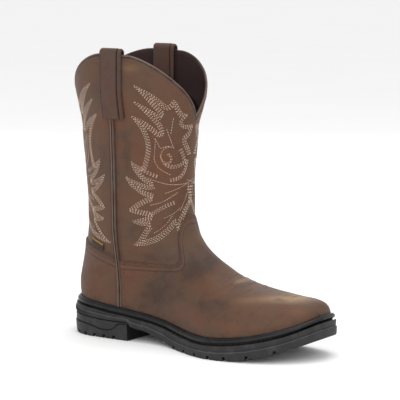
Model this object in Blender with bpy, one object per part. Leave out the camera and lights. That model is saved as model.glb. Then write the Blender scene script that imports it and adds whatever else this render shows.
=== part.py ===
"""A pull-on western work boot: the right boot of a pair, standing empty on its sole.

Sizes below are in millimetres.  x runs from the back edge of the outsole to the toe, y to the
inner side of the foot and z up from the floor.  The finished boot has its origin on the floor
under the middle of the heel, and is in metres.
"""
from collections import namedtuple
from math import cos, pi, sin

import bmesh
import bpy
import numpy as np

MM = 0.001

# Driving sizes
SOLE_LENGTH = 305.0
HEEL_REST_X = 38.0
BREAST_X = 85.0
SIDE_SEAM_X = 71.5
COLLAR_OUTER_HEIGHT = 304.0
COLLAR_INNER_HEIGHT = 306.0
COLLAR_FRONT_HEIGHT = 241.5
COLLAR_BACK_HEIGHT = 247.0
COLLAR_DIP_SPAN = 76.0
COLLAR_DIP_POWER = {-1: 1.45, 1: 1.65}
CORD_RADIUS = 1.2
GAP = 0.3
CORD_HEIGHT = 2 * CORD_RADIUS + GAP
UPPER_WALL = 2.4
OVERLAY_THICKNESS = 1.4
WELT_HEIGHT = 6.6
SOLE_REACH = 7.0
TOE_TIP_Y = 12.0
TOE_START_X = 228.0
TOE_TIP_X = SOLE_LENGTH - SOLE_REACH
COLUMNS = 44
PRISM_REACH = 120.0
SHAFT_MIDDLE_X = 100.0

# The last's outline just above the welt: half widths to the outer and the inner side.
Outline = namedtuple("Outline", "x outer inner")
LAST_OUTLINE = (
    Outline(0, 29.0, 29.0),
    Outline(35, 30.0, 30.0),
    Outline(60, 30.5, 30.0),
    Outline(85, 30.0, 28.0),
    Outline(108, 28.5, 25.5),
    Outline(130, 30.5, 26.0),
    Outline(150, 37.5, 29.5),
    Outline(170, 47.0, 34.5),
    Outline(188, 55.0, 39.0),
    Outline(203, 58.5, 42.0),
    Outline(220, 57.5, 43.5),
    Outline(235, 55.0, 43.0),
    Outline(305, 52.0, 42.0),
)
TOE_POWER = {-1: 1.7, 1: 2.3}
# Where the foot's breadth blends into the shaft's: height above the welt, and place along it.
SHAFT_BLEND_FROM = 8.0
SHAFT_BLEND_HEIGHT = 80.0
INSTEP_BLEND_FROM = 135.0
INSTEP_BLEND_LENGTH = 55.0
# Sections are rounded as an ellipse is, and a little squarer over the toes.
ROUNDING_POWER = 2.0
TOE_FULLNESS = 0.3
FULLNESS_FROM = 190.0
FULLNESS_LENGTH = 60.0

# Heights along the foot: where the leather meets the welt, and the underside of the sole.
Level = namedtuple("Level", "x leather underside")
LEVELS = (
    Level(0, 41.0, 24.0),
    Level(30, 38.6, 21.8),
    Level(60, 35.2, 20.0),
    Level(85, 32.8, 19.8),
    Level(88, 32.4, 16.0),
    Level(108, 29.8, 12.0),
    Level(128, 26.6, 6.0),
    Level(142, 24.4, 2.2),
    Level(152, 23.1, 0.5),
    Level(160, 22.4, 0.0),
    Level(189, 21.2, 0.0),
    Level(208, 21.8, 0.0),
    Level(238, 25.2, 2.6),
    Level(261, 30.0, 7.5),
    Level(281, 36.3, 13.9),
    Level(293, 42.0, 18.6),
    Level(297, 44.2, 20.4),
    Level(305, 48.0, 24.0),
)

# The back of the upper in side view, half of its breadth, and how far in it is rounded.
Back = namedtuple("Back", "z x breadth round")
BACK = (
    Back(30, 9.5, 31.0, 31.0),
    Back(40, 7.5, 31.0, 31.0),
    Back(48, 5.6, 32.0, 33.0),
    Back(57, 5.0, 33.0, 36.0),
    Back(66, 6.2, 34.5, 40.0),
    Back(78, 8.7, 36.5, 45.0),
    Back(92, 11.5, 38.3, 50.0),
    Back(110, 13.6, 39.5, 56.0),
    Back(128, 14.3, 40.5, 61.0),
    Back(145, 14.1, 41.1, 62.5),
    Back(170, 12.0, 41.9, 63.5),
    Back(204, 8.9, 43.6, 66.0),
    Back(228, 6.7, 44.9, 68.0),
    Back(246, 2.8, 48.0, 72.8),
    Back(260, -0.6, 50.3, 76.0),
    Back(272, -2.2, 51.0, 77.6),
    Back(320, -2.4, 51.0, 77.8),
)

# The front of the upper in side view, from the toe's tip over the instep and up the shaft,
# and how far in from that line the body is rounded.
Front = namedtuple("Front", "x z round")
FRONT = (
    Front(296.5, 44.6, 2.0),
    Front(296.2, 47.0, 4.0),
    Front(295.0, 50.0, 7.0),
    Front(292.2, 53.0, 10.0),
    Front(287.5, 55.3, 14.0),
    Front(279.0, 57.3, 21.0),
    Front(269.0, 58.3, 27.0),
    Front(255.0, 60.2, 34.0),
    Front(240.0, 62.3, 40.0),
    Front(225.0, 65.4, 45.0),
    Front(210.0, 70.0, 50.0),
    Front(195.0, 76.0, 55.0),
    Front(180.0, 84.2, 59.0),
    Front(166.0, 93.0, 61.0),
    Front(154.0, 102.8, 61.0),
    Front(146.0, 113.5, 61.0),
    Front(141.3, 126.5, 61.0),
    Front(139.0, 144.0, 62.5),
    Front(138.9, 166.0, 63.5),
    Front(141.3, 204.0, 66.0),
    Front(143.3, 228.0, 68.0),
    Front(149.0, 246.0, 72.8),
    Front(152.4, 260.0, 76.0),
    Front(153.6, 272.0, 77.4),
    Front(153.8, 320.0, 77.4),
)

SHAFT_FRONT = tuple(row for row in FRONT if row.z >= 126.5)

# Where the body's two sides meet, seen from above.
Ridge = namedtuple("Ridge", "x y")
RIDGE = (Ridge(0, 0), Ridge(150, 0), Ridge(200, 1), Ridge(250, 6), Ridge(298, 12), Ridge(305, 12))

# Rows of the upper from the welt to the collar: the height at the back, the distance along the
# front line, the share of the welt line's fall, and the share of the collar's rise.
Row = namedtuple("Row", "back front fall rise")
ROWS = (
    Row(40.9, 0.0, 1.00, 0.0),
    Row(44.0, 3.6, 0.90, 0.0),
    Row(47.5, 8.0, 0.80, 0.0),
    Row(51.0, 13.5, 0.70, 0.0),
    Row(54.5, 21.0, 0.60, 0.0),
    Row(58.0, 31.0, 0.51, 0.0),
    Row(61.5, 44.0, 0.42, 0.0),
    Row(65.0, 59.0, 0.34, 0.0),
    Row(68.5, 75.0, 0.26, 0.0),
    Row(72.0, 91.0, 0.19, 0.0),
    Row(76.0, 107.0, 0.13, 0.0),
    Row(80.0, 122.0, 0.08, 0.0),
    Row(84.5, 136.0, 0.04, 0.0),
    Row(89.5, 147.0, 0.01, 0.0),
    Row(95.0, 157.5, 0.0, 0.0),
    Row(101.5, 167.0, 0.0, 0.0),
    Row(109.0, 177.0, 0.0, 0.0),
    Row(119.0, 189.0, 0.0, 0.02),
    Row(134.0, 203.0, 0.0, 0.08),
    Row(153.0, 219.0, 0.0, 0.18),
    Row(173.0, 236.0, 0.0, 0.31),
    Row(194.0, 252.0, 0.0, 0.46),
    Row(213.0, 267.0, 0.0, 0.63),
    Row(230.0, 281.0, 0.0, 0.81),
    Row(COLLAR_BACK_HEIGHT - CORD_HEIGHT, 294.5, 0.0, 1.0),
)
LINING_ROWS = (0, 3, 6, 9, 12, 14, 16, 18, 20, 21, 22, 23, 24)
OVERLAY_ROWS = 19


def curve(xs, ys, at):
    """Value at the given places of a curve through the points that never overshoots them."""
    step = np.diff(xs)
    slope = np.diff(ys) / step
    product = slope[:-1] * slope[1:]
    before = 2 * step[1:] + step[:-1]
    after = step[1:] + 2 * step[:-1]
    weighted = before * slope[1:] + after * slope[:-1]
    tangent = np.zeros_like(ys)
    rising = product > 0
    tangent[1:-1][rising] = (before + after)[rising] * product[rising] / weighted[rising]
    tangent[0] = slope[0]
    tangent[-1] = slope[-1]
    at = np.clip(np.asarray(at, dtype=float), xs[0], xs[-1])
    cell = np.clip(np.searchsorted(xs, at, side="right") - 1, 0, len(step) - 1)
    t = (at - xs[cell]) / step[cell]
    line = ys[cell] * (1 + 2 * t) * (1 - t) ** 2 + ys[cell + 1] * t * t * (3 - 2 * t)
    bend = tangent[cell] * (1 - t) - tangent[cell + 1] * t
    return line + step[cell] * t * (1 - t) * bend


def column(table, name):
    """One named column of a table as an array."""
    return np.array([getattr(row, name) for row in table], dtype=float)


def look_up(table, key, name, at):
    """Smooth value of a table's named column at places along its key column."""
    return curve(column(table, key), column(table, name), at)


def level_at(name, x):
    """Height of the leather's line or of the sole's underside at places along the foot."""
    return look_up(LEVELS, "x", name, x)


def front_line(run):
    """Side-view x, z and rounding at distances along the front of the upper."""
    x = column(FRONT, "x")
    z = column(FRONT, "z")
    along = np.concatenate([[0.0], np.cumsum(np.hypot(np.diff(x), np.diff(z)))])
    return curve(along, x, run), curve(along, z, run), curve(along, column(FRONT, "round"), run)


FRONT_LENGTH = 375.0
FRONT_SAMPLES = np.linspace(0.0, FRONT_LENGTH, 400)
FRONT_X, FRONT_Z, FRONT_ROUND = front_line(FRONT_SAMPLES)


def ease(t):
    """Smooth step from 0 to 1."""
    t = np.clip(t, 0.0, 1.0)
    return t * t * (3 - 2 * t)


def round_off(depth, power):
    """Share of the full width at a depth inside an edge, from 0 at the edge to 1 when deep."""
    inside = 1 - np.clip(depth, 0.0, 1.0)
    return (1 - inside**power) ** (1 / power)


def outline_y(side, x):
    """y of the last's outline just above the welt; side is -1 outer and 1 inner."""
    name = "outer" if side < 0 else "inner"
    edge = side * look_up(LAST_OUTLINE, "x", name, x)
    toe = np.clip((x - TOE_START_X) / (TOE_TIP_X - TOE_START_X), 0.0, 1.0)
    return TOE_TIP_Y + (edge - TOE_TIP_Y) * np.sqrt(1 - toe ** TOE_POWER[side])


def half_width(side, x, z):
    """Distance from the ridge line to the body's surface at points of the side view."""
    ridge = look_up(RIDGE, "x", "y", x)
    foot = np.maximum(side * (outline_y(side, x) - ridge), 0.0)
    leather = level_at("leather", x)
    breadth = look_up(BACK, "z", "breadth", z)
    rise = ease((z - leather - SHAFT_BLEND_FROM) / SHAFT_BLEND_HEIGHT)
    to_shaft = rise * (1 - ease((x - INSTEP_BLEND_FROM) / INSTEP_BLEND_LENGTH))
    full = foot + (breadth - foot) * to_shaft
    dx = np.subtract.outer(x, FRONT_X)
    dz = np.subtract.outer(z, FRONT_Z)
    depth = np.min(np.hypot(dx, dz) / FRONT_ROUND, axis=-1)
    power = ROUNDING_POWER + TOE_FULLNESS * ease((x - FULLNESS_FROM) / FULLNESS_LENGTH)
    behind = (x - look_up(BACK, "z", "x", z)) / look_up(BACK, "z", "round", z)
    return full * round_off(depth, power) * round_off(behind, ROUNDING_POWER)


def body_point(side, x, z):
    """Points of the body's surface at places of the side view."""
    y = look_up(RIDGE, "x", "y", x) + side * half_width(side, x, z)
    return np.stack([x, y, z], axis=-1)


def wall_point(side, x, z, out):
    """Points a given distance outside the body's surface, on one of its sides."""
    x, z, out = np.broadcast_arrays(np.asarray(x, float), z, out)
    step = 0.5
    slope_x = (half_width(side, x + step, z) - half_width(side, x - step, z)) / (2 * step)
    slope_z = (half_width(side, x, z + step) - half_width(side, x, z - step)) / (2 * step)
    normal = np.stack([-slope_x, np.full_like(slope_x, side), -slope_z], axis=-1)
    normal /= np.linalg.norm(normal, axis=-1, keepdims=True)
    return body_point(side, x, z) + normal * out[..., None]


def collar_rise(angle):
    """Height of the collar's line above its level at front and back, at angles from the back."""
    side = np.where(np.sin(angle) >= 0, -1, 1)
    top = np.where(side < 0, COLLAR_OUTER_HEIGHT, COLLAR_INNER_HEIGHT)
    power = np.where(side < 0, COLLAR_DIP_POWER[-1], COLLAR_DIP_POWER[1])
    from_back = np.degrees(np.minimum(angle, 2 * pi - angle))
    dip_back = np.clip(1 - from_back / COLLAR_DIP_SPAN, 0, 1) ** power
    dip_front = np.clip(1 - (180 - from_back) / COLLAR_DIP_SPAN, 0, 1) ** power
    along = (1 - np.cos(angle)) / 2
    level = COLLAR_BACK_HEIGHT + (COLLAR_FRONT_HEIGHT - COLLAR_BACK_HEIGHT) * along
    height = top - (top - COLLAR_BACK_HEIGHT) * dip_back - (top - COLLAR_FRONT_HEIGHT) * dip_front
    return height - level


def body_row(row, angle):
    """One row of points round the body; angles run from the back by the outer side."""
    along = (1 - np.cos(angle)) / 2
    front_x, front_z, _ = front_line(row.front)
    back_x = look_up(BACK, "z", "x", row.back)
    x = back_x + (front_x - back_x) * along
    heel = level_at("leather", back_x)
    toe = level_at("leather", front_x)
    fall = level_at("leather", x) - heel - (toe - heel) * along
    z = row.back + (front_z - row.back) * along
    z = z + fall * row.fall + collar_rise(angle) * row.rise
    if row.rise > 0:
        back_x = look_up(BACK, "z", "x", z)
        x = back_x + (look_up(SHAFT_FRONT, "z", "x", z) - back_x) * along
    outer = np.sin(angle) >= 0
    width = np.where(outer, -half_width(-1, x, z), half_width(1, x, z))
    return np.stack([x, look_up(RIDGE, "x", "y", x) + width, z], axis=-1)


def body_grid():
    """Points and outward normals of the body, row by row, closed round each row."""
    angle = np.arange(COLUMNS) * 2 * pi / COLUMNS
    points = np.array([body_row(row, angle) for row in ROWS])
    around = np.roll(points, -1, axis=1) - np.roll(points, 1, axis=1)
    upward = np.gradient(points, axis=0)
    normals = np.cross(around, upward)
    normals /= np.linalg.norm(normals, axis=2, keepdims=True)
    return points, normals


def with_skirt(rows):
    """The rows with one more below, which goes straight down behind the welt."""
    skirt = rows[0].copy()
    skirt[:, 2] = level_at("leather", skirt[:, 0]) - WELT_HEIGHT + GAP
    return np.concatenate([skirt[None], rows])


def plan_ring(offset):
    """Plan of the line above the welt, moved outward: x and y for each column."""
    points, _ = BODY
    ring = points[0]
    tangent = np.roll(ring, -1, axis=0) - np.roll(ring, 1, axis=0)
    outward = np.stack([tangent[:, 1], -tangent[:, 0]], axis=1)
    outward /= np.linalg.norm(outward, axis=1, keepdims=True)
    return ring[:, :2] + outward * offset


# Meshes and objects


def new_object(name, vertices, faces, finish):
    """Closed object from points in millimetres and faces, with its finish."""
    mesh = bpy.data.meshes.new(name)
    mesh.from_pydata([tuple(v) for v in np.asarray(vertices) * MM], [], faces)
    work = bmesh.new()
    work.from_mesh(mesh)
    bmesh.ops.recalc_face_normals(work, faces=work.faces)
    work.to_mesh(mesh)
    work.free()
    thing = bpy.data.objects.new(name, mesh)
    thing.location.x = -HEEL_REST_X * MM
    bpy.context.collection.objects.link(thing)
    if finish:
        mesh.materials.append(finish)
    mesh.polygons.foreach_set("use_smooth", [True] * len(mesh.polygons))
    return thing


def make_finish(name, colour, roughness, metallic=0.0):
    """Plain finish for one kind of piece."""
    finish = bpy.data.materials.new(name)
    finish.use_nodes = True
    shader = finish.node_tree.nodes["Principled BSDF"]
    shader.inputs["Base Color"].default_value = (*colour, 1.0)
    shader.inputs["Roughness"].default_value = roughness
    shader.inputs["Metallic"].default_value = metallic
    finish.diffuse_color = (*colour, 1.0)
    return finish


def tube_faces(rows, columns, start=0):
    """Faces of a grid of points that is closed round its columns."""
    faces = []
    for row in range(rows - 1):
        for col in range(columns):
            after = (col + 1) % columns
            low = start + row * columns
            high = low + columns
            faces.append((low + col, low + after, high + after))
            faces.append((low + col, high + after, high + col))
    return faces


def hollow_shell(name, outer, inner, finish):
    """Solid between two grids that are closed round, open below and above."""
    columns = outer.shape[1]
    first = outer.shape[0] * columns
    faces = tube_faces(outer.shape[0], columns)
    faces += [face[::-1] for face in tube_faces(inner.shape[0], columns, first)]
    top_outer = first - columns
    top_inner = first + (inner.shape[0] - 1) * columns
    for col in range(columns):
        after = (col + 1) % columns
        faces.append((first + col, first + after, after, col))
        faces.append((top_outer + col, top_outer + after, top_inner + after, top_inner + col))
    vertices = np.concatenate([outer.reshape(-1, 3), inner.reshape(-1, 3)])
    return new_object(name, vertices, faces, finish)


def ring_solid(name, profile_rows, finish):
    """Solid ring from rows of points, the last row joined back to the first."""
    rows, columns = profile_rows.shape[:2]
    closed = np.concatenate([profile_rows, profile_rows[:1]])
    faces = []
    for face in tube_faces(rows + 1, columns):
        faces.append(tuple(index % (rows * columns) for index in face))
    return new_object(name, closed[:-1].reshape(-1, 3), faces, finish)


def paired_cap(base, columns, flip):
    """Faces that close a paired outline whose first point is on its middle line."""
    half = columns // 2
    faces = [order((base, base + 1, base + columns - 1), flip)]
    for col in range(1, half - 1):
        quad = (base + col, base + col + 1, base + columns - col - 1, base + columns - col)
        faces.append(order(quad, flip))
    faces.append(order((base + half - 1, base + half, base + half + 1), flip))
    return faces


def plate_faces(columns, start, rows):
    """Side and end faces of a plate whose rows go round a left-right paired outline."""
    faces = tube_faces(rows, columns, start)
    faces += paired_cap(start, columns, True)
    faces += paired_cap(start + (rows - 1) * columns, columns, False)
    return faces


def order(face, flip):
    """The face's corners, turned round when it faces down."""
    return face[::-1] if flip else face


def plate(name, rows, finish):
    """Solid from rows that go round, closed by strips across its lowest and highest row."""
    rows = np.asarray(rows)
    faces = plate_faces(rows.shape[1], 0, rows.shape[0])
    return new_object(name, rows.reshape(-1, 3), faces, finish)


def sweep(name, sections, finish):
    """Solid from sections that are closed loops of points, with a face at each end."""
    sections = np.asarray(sections)
    count, loop = sections.shape[:2]
    faces = tube_faces(count, loop)
    faces.append(tuple(range(loop))[::-1])
    faces.append(tuple((count - 1) * loop + index for index in range(loop)))
    return new_object(name, sections.reshape(-1, 3), faces, finish)


def side_prism(name, outline):
    """Solid from a side-view outline, right across the boot."""
    near = [(x, -PRISM_REACH, z) for x, z in outline]
    far = [(x, PRISM_REACH, z) for x, z in outline]
    return sweep(name, [near, far], None)


def front_prism(name, outline):
    """Solid from a front-view outline, through the shaft's front."""
    near = [(SHAFT_MIDDLE_X, y, z) for y, z in outline]
    far = [(SHAFT_MIDDLE_X + PRISM_REACH, y, z) for y, z in outline]
    return sweep(name, [near, far], None)


def combine(target, tool, operation):
    """The target changed by a second solid, which is then taken away."""
    change = target.modifiers.new("cut", "BOOLEAN")
    change.operation = operation
    change.solver = "EXACT"
    change.object = tool
    change.use_self = True
    graph = bpy.context.evaluated_depsgraph_get()
    mesh = bpy.data.meshes.new_from_object(target.evaluated_get(graph))
    target.modifiers.clear()
    old = target.data
    target.data = mesh
    bpy.data.meshes.remove(old)
    bpy.data.objects.remove(tool)
    mesh.name = target.name
    return target


BODY = body_grid()

# Pieces of the upper

# Side view of the edges of the two leather overlays, from the side seam outward.
Edge = namedtuple("Edge", "x z")
VAMP_EDGE = (
    Edge(160.0, 100.0),
    Edge(149.0, 92.0),
    Edge(144.0, 87.0),
    Edge(137.0, 84.8),
    Edge(71.5, 84.8),
)
COUNTER_EDGE = (
    Edge(71.5, 85.6),
    Edge(55.0, 91.0),
    Edge(40.0, 95.6),
    Edge(24.0, 99.8),
    Edge(0.0, 104.0),
)
# Front view of half of the tongue that stands up the shaft: half width at each height.
Tongue = namedtuple("Tongue", "half_width z")
TONGUE = (
    Tongue(28.5, 80.0),
    Tongue(27.0, 88.0),
    Tongue(24.0, 98.0),
    Tongue(22.0, 108.5),
    Tongue(17.0, 121.0),
    Tongue(11.5, 131.0),
    Tongue(7.5, 133.6),
    Tongue(2.0, 134.4),
)
SEAM_HALF_WIDTH = 2.2
# Section of the bead: share of its half width across, and height.
Bead = namedtuple("Bead", "across height")
SEAM_PROFILE = (
    Bead(-1.0, 0.0),
    Bead(-0.8, 1.2),
    Bead(0.0, 2.0),
    Bead(0.8, 1.2),
    Bead(1.0, 0.0),
)
SEAM_FOOT_CLEARANCE = 0.6
SEAM_SEAT = 0.75
SEAM_TOP = 232.0
CORD_SIDES = 6


def build_upper(finish):
    """Shaft and foot in one hollow wall, open at the collar and underneath."""
    points, normals = BODY
    lining_rows = list(LINING_ROWS)
    lining = (points - normals * UPPER_WALL)[lining_rows]
    lining[0][:, 2] = points[0][:, 2]
    return hollow_shell("upper", with_skirt(points), with_skirt(lining), finish)


def overlay_shell(name, finish):
    """Leather layer right round the foot, lying on the upper."""
    points, normals = BODY
    foot = points[:OVERLAY_ROWS]
    away = normals[:OVERLAY_ROWS].copy()
    away[0][:, 2] = 0.0
    near = foot + away * GAP
    far = foot + away * (GAP + OVERLAY_THICKNESS)
    return hollow_shell(name, with_skirt(far), with_skirt(near), finish)


def build_vamp(finish):
    """Front overlay with the tongue that stands up the front of the shaft."""
    start = SIDE_SEAM_X + SEAM_HALF_WIDTH + GAP
    beyond = SOLE_LENGTH + 15.0
    low = [(start, 0.0), (beyond, 0.0), (beyond, VAMP_EDGE[0].z)]
    low += [(max(edge.x, start), edge.z) for edge in VAMP_EDGE]
    outline = side_prism("vamp outline", low)
    right = [(tongue.half_width, tongue.z) for tongue in TONGUE]
    left = [(-tongue.half_width, tongue.z) for tongue in reversed(TONGUE)]
    combine(outline, front_prism("tongue outline", right + left), "UNION")
    return combine(overlay_shell("vamp", finish), outline, "INTERSECT")


def build_counter(finish):
    """Back overlay that wraps the heel."""
    start = SIDE_SEAM_X - SEAM_HALF_WIDTH - GAP
    outline = [(start, 0.0)] + [(min(edge.x, start), edge.z) for edge in COUNTER_EDGE]
    behind = -15.0
    outline += [(behind, COUNTER_EDGE[-1].z), (behind, 0.0)]
    shape = side_prism("counter outline", outline)
    return combine(overlay_shell("counter", finish), shape, "INTERSECT")


def build_side_seam(name, side, finish):
    """Piping bead down the side seam, from under the pull strap to the welt."""
    low = float(level_at("leather", SIDE_SEAM_X)) + SEAM_FOOT_CLEARANCE
    quarter = COLUMNS // 4 if side < 0 else 3 * COLUMNS // 4
    row_heights = BODY[0][:, quarter, 2]
    between = row_heights[(row_heights > low + GAP) & (row_heights < SEAM_TOP - GAP)]
    across = SIDE_SEAM_X + column(SEAM_PROFILE, "across") * SEAM_HALF_WIDTH
    out = SEAM_SEAT + column(SEAM_PROFILE, "height")
    sections = []
    for z in (low, *between, SEAM_TOP):
        sections.append(wall_point(side, across, np.full_like(across, z), out))
    return sweep(name, sections, finish)


def build_collar_cord(finish):
    """Round piping that sits on the collar's edge all the way round."""
    points, normals = BODY
    edge = points[-1] - normals[-1] * UPPER_WALL / 2
    tangent = np.roll(edge, -1, axis=0) - np.roll(edge, 1, axis=0)
    tangent /= np.linalg.norm(tangent, axis=1, keepdims=True)
    up = np.cross(normals[-1], tangent)
    up /= np.linalg.norm(up, axis=1, keepdims=True)
    middle = edge + up * (CORD_RADIUS + GAP)
    rows = []
    for step in range(CORD_SIDES):
        turn = 2 * pi * step / CORD_SIDES
        rows.append(middle + CORD_RADIUS * (cos(turn) * normals[-1] + sin(turn) * up))
    return ring_solid("collar_cord", np.array(rows), finish)


# Small plain tab sewn on the outer side of the shaft, just above the counter's edge.
TAB_START_X = 36.0
TAB_END_X = 54.0
TAB_STEPS = 4
TAB_CLEARANCE = 2.0
TAB_HEIGHT = 7.4
TAB_THICKNESS = 1.0


def build_side_tab(finish):
    """Flat tab that follows the counter's edge on the outer side."""
    sections = []
    for x in np.linspace(TAB_START_X, TAB_END_X, TAB_STEPS + 1):
        low = float(look_up(tuple(reversed(COUNTER_EDGE)), "x", "z", x)) + TAB_CLEARANCE
        z = np.array([low, low + TAB_HEIGHT, low + TAB_HEIGHT, low])
        out = np.array([GAP, GAP, GAP + TAB_THICKNESS, GAP + TAB_THICKNESS])
        sections.append(wall_point(-1, np.full(4, x), z, out))
    return sweep("side_tab", sections, finish)


# Pull straps

STRAP_X = 73.5
STRAP_HALF_WIDTH = 12.2
STRAP_THICKNESS = 2.6
STRAP_OUTER_END = 235.0
STRAP_INNER_END = 252.0
STRAP_STRAIGHT_FROM = 284.0
STRAP_SLACK = 0.9
STRAP_STAND_OFF = 0.5
STRAP_BEND = CORD_RADIUS + GAP + STRAP_SLACK + STRAP_THICKNESS / 2
STRAP_LEG_STEPS = 6
STRAP_BEND_STEPS = 8
STRAP_ACROSS = 3


def strap_path(centre_z):
    """Middle line of the strap: distance outside the shaft, height and way it faces."""
    centre_out = STRAP_STAND_OFF - UPPER_WALL / 2 - STRAP_SLACK
    path = []
    for z in np.linspace(STRAP_OUTER_END, centre_z, STRAP_LEG_STEPS, endpoint=False):
        path.append((centre_out + STRAP_BEND, z, 0.0))
    for step in range(STRAP_BEND_STEPS + 1):
        turn = pi * step / STRAP_BEND_STEPS
        path.append((centre_out + STRAP_BEND * cos(turn), centre_z + STRAP_BEND * sin(turn), turn))
    for z in np.linspace(centre_z, STRAP_INNER_END, STRAP_LEG_STEPS)[1:]:
        path.append((centre_out - STRAP_BEND, z, pi))
    return path


def build_strap(name, side, finish):
    """Pull strap that goes over the collar at the side seam, down both faces of the shaft."""
    across = np.linspace(-1, 1, STRAP_ACROSS + 1) * STRAP_HALF_WIDTH + STRAP_X
    sections = []
    top = COLLAR_OUTER_HEIGHT if side < 0 else COLLAR_INNER_HEIGHT
    for out, z, turn in strap_path(top - CORD_RADIUS):
        faces = []
        for half in (STRAP_THICKNESS / 2, -STRAP_THICKNESS / 2):
            face_out = np.full_like(across, out + half * cos(turn))
            face_z = np.full_like(across, z + half * sin(turn))
            level = np.minimum(face_z, STRAP_STRAIGHT_FROM)
            point = wall_point(side, across, level, face_out)
            point[:, 2] += face_z - level
            faces.append(point)
        sections.append(np.concatenate([faces[0], faces[1][::-1]]))
    return sweep(name, sections, finish)


# Sole

# Welt in section: distance outside the upper, and height above the line of the leather.
Section = namedtuple("Section", "out height")
WELT_SECTION = (
    Section(2.0, GAP - WELT_HEIGHT),
    Section(2.0, 0.3),
    Section(3.4, -0.1),
    Section(5.2, -2.2),
    Section(5.7, -3.0),
    Section(5.7, -5.2),
    Section(4.4, GAP - WELT_HEIGHT),
)

# Side wall of the sole: distance outside the upper, share of the wall's height from the
# underside, and a further height.
Wall = namedtuple("Wall", "out share height")
SOLE_WALL = (
    Wall(6.9, 0.0, 0.0),
    Wall(7.9, 0.0, 1.6),
    Wall(8.0, 0.5, -0.8),
    Wall(7.9, 0.5, 0.3),
    Wall(7.0, 0.5, 1.2),
    Wall(7.0, 1.0, -1.0),
    Wall(6.2, 1.0, 0.0),
)

# Step on the side of the heel, which rises to the breast.
Step = namedtuple("Step", "x z")
HEEL_STEP = (
    Step(0, 13.5),
    Step(20, 13.4),
    Step(34, 12.3),
    Step(45, 9.9),
    Step(53, 8.5),
    Step(61, 8.6),
    Step(66, 10.2),
    Step(71, 14.0),
    Step(76, 16.8),
    Step(86, 17.3),
)
# Side of the heel: distance outside the upper, and the level that it is measured from.
HeelWall = namedtuple("HeelWall", "out level height")
HEEL_WALL = (
    HeelWall(5.4, "floor", 0.0),
    HeelWall(7.0, "floor", 3.0),
    HeelWall(8.0, "step", -0.9),
    HeelWall(7.9, "step", 0.0),
    HeelWall(6.9, "step", 0.6),
    HeelWall(7.2, "sole", -1.2),
    HeelWall(6.2, "sole", -0.2),
    HeelWall(4.6, "sole", 1.6),
)
BREAST_CLEARANCE = 3.0
HEEL_SLOT_PITCH = 12.6
LUG_SLOTS = (150.0, 168.0, 186.0, 204.0, 222.0, 245.0, 270.0)
SLOT_DEPTH = 3.2
SLOT_WIDTH = 3.0
SLOT_REACH = 14.0
SLOT_OVERRUN = 4.0
GROOVE_WIDTH = 3.2
GROOVE_DEPTH = 2.6
CHANNEL_DEPTH = 2.9
CHANNEL_START_X = 146.0
CHANNEL_END_X = 276.0
CHANNEL_STEPS = 12
CUT_BELOW = 5.0
DIRECTION_STEP = 2.5
CROSS_GROOVES = (20.0, 58.0, 168.0, 186.0, 204.0, 222.0, 245.0)
INSOLE_THICKNESS = 3.0


def build_insole(finish):
    """Insole that fills the foot's floor inside the upper."""
    ring = plan_ring(-UPPER_WALL - GAP)
    seat = level_at("leather", ring[:, 0]) - WELT_HEIGHT + GAP
    rows = [np.column_stack([ring, seat]), np.column_stack([ring, seat + INSOLE_THICKNESS])]
    return plate("insole", rows, finish)


def build_welt(finish):
    """Rubber welt that runs all the way round between the leather and the sole."""
    rows = []
    for section in WELT_SECTION:
        ring = plan_ring(section.out)
        rows.append(np.column_stack([ring, level_at("leather", ring[:, 0]) + section.height]))
    return ring_solid("welt", np.array(rows), finish)


def build_outsole(finish):
    """Moulded sole with its arch, toe spring, side step, heel and cut lugs."""
    rows = []
    for wall in SOLE_WALL:
        ring = plan_ring(wall.out)
        seat = level_at("leather", ring[:, 0]) - WELT_HEIGHT
        under = level_at("underside", ring[:, 0])
        rows.append(np.column_stack([ring, under + (seat - under) * wall.share + wall.height]))
    sole = plate("outsole", rows, finish)
    combine(sole, heel_block(), "UNION")
    combine(sole, tread_channels(), "DIFFERENCE")
    combine(sole, tread_slots(), "DIFFERENCE")
    return sole


def heel_loop(out):
    """Plan of the heel at a distance outside the upper, cut straight at the breast."""
    ring = plan_ring(out)
    side = ring[:, 0] < BREAST_X - BREAST_CLEARANCE
    half = COLUMNS // 2
    outer = ring[:half][side[:half]]
    inner = ring[half:][side[half:]]
    corner_outer = [BREAST_X, np.interp(BREAST_X, ring[:half, 0], ring[:half, 1])]
    corner_inner = [BREAST_X, np.interp(BREAST_X, ring[half:, 0][::-1], ring[half:, 1][::-1])]
    return np.concatenate([outer, [corner_outer], [corner_inner], inner])


def heel_cap(base, count, flip):
    """Faces that close the heel's outline, in strips from side to side."""
    faces = []
    for step in range(count // 2):
        right = base + (count - step) % count
        quad = (base + step, base + step + 1, base + count - step - 1, right)
        faces.append(order(tuple(dict.fromkeys(quad)), flip))
    return faces


def heel_block():
    """Heel below the sole, with a flat breast and the step on its sides."""
    rows = []
    for wall in HEEL_WALL:
        loop = heel_loop(wall.out)
        levels = {
            "floor": np.zeros(len(loop)),
            "step": look_up(HEEL_STEP, "x", "z", loop[:, 0]),
            "sole": level_at("underside", loop[:, 0]),
        }
        rows.append(np.column_stack([loop, levels[wall.level] + wall.height]))
    count = len(rows[0])
    faces = tube_faces(len(rows), count)
    faces += heel_cap(0, count, True)
    faces += heel_cap((len(rows) - 1) * count, count, False)
    return new_object("heel block", np.concatenate(rows), faces, None)


def box_corners(centre, direction, length, width, low, high):
    """Corners of a box that lies along a direction in plan."""
    along = np.array(direction) * length / 2
    beside = np.array([-direction[1], direction[0]]) * width / 2
    start = np.array(centre) - along
    end = np.array(centre) + along
    loop = [start - beside, end - beside, end + beside, start + beside]
    return [(*corner, low) for corner in loop] + [(*corner, high) for corner in loop]


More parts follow.
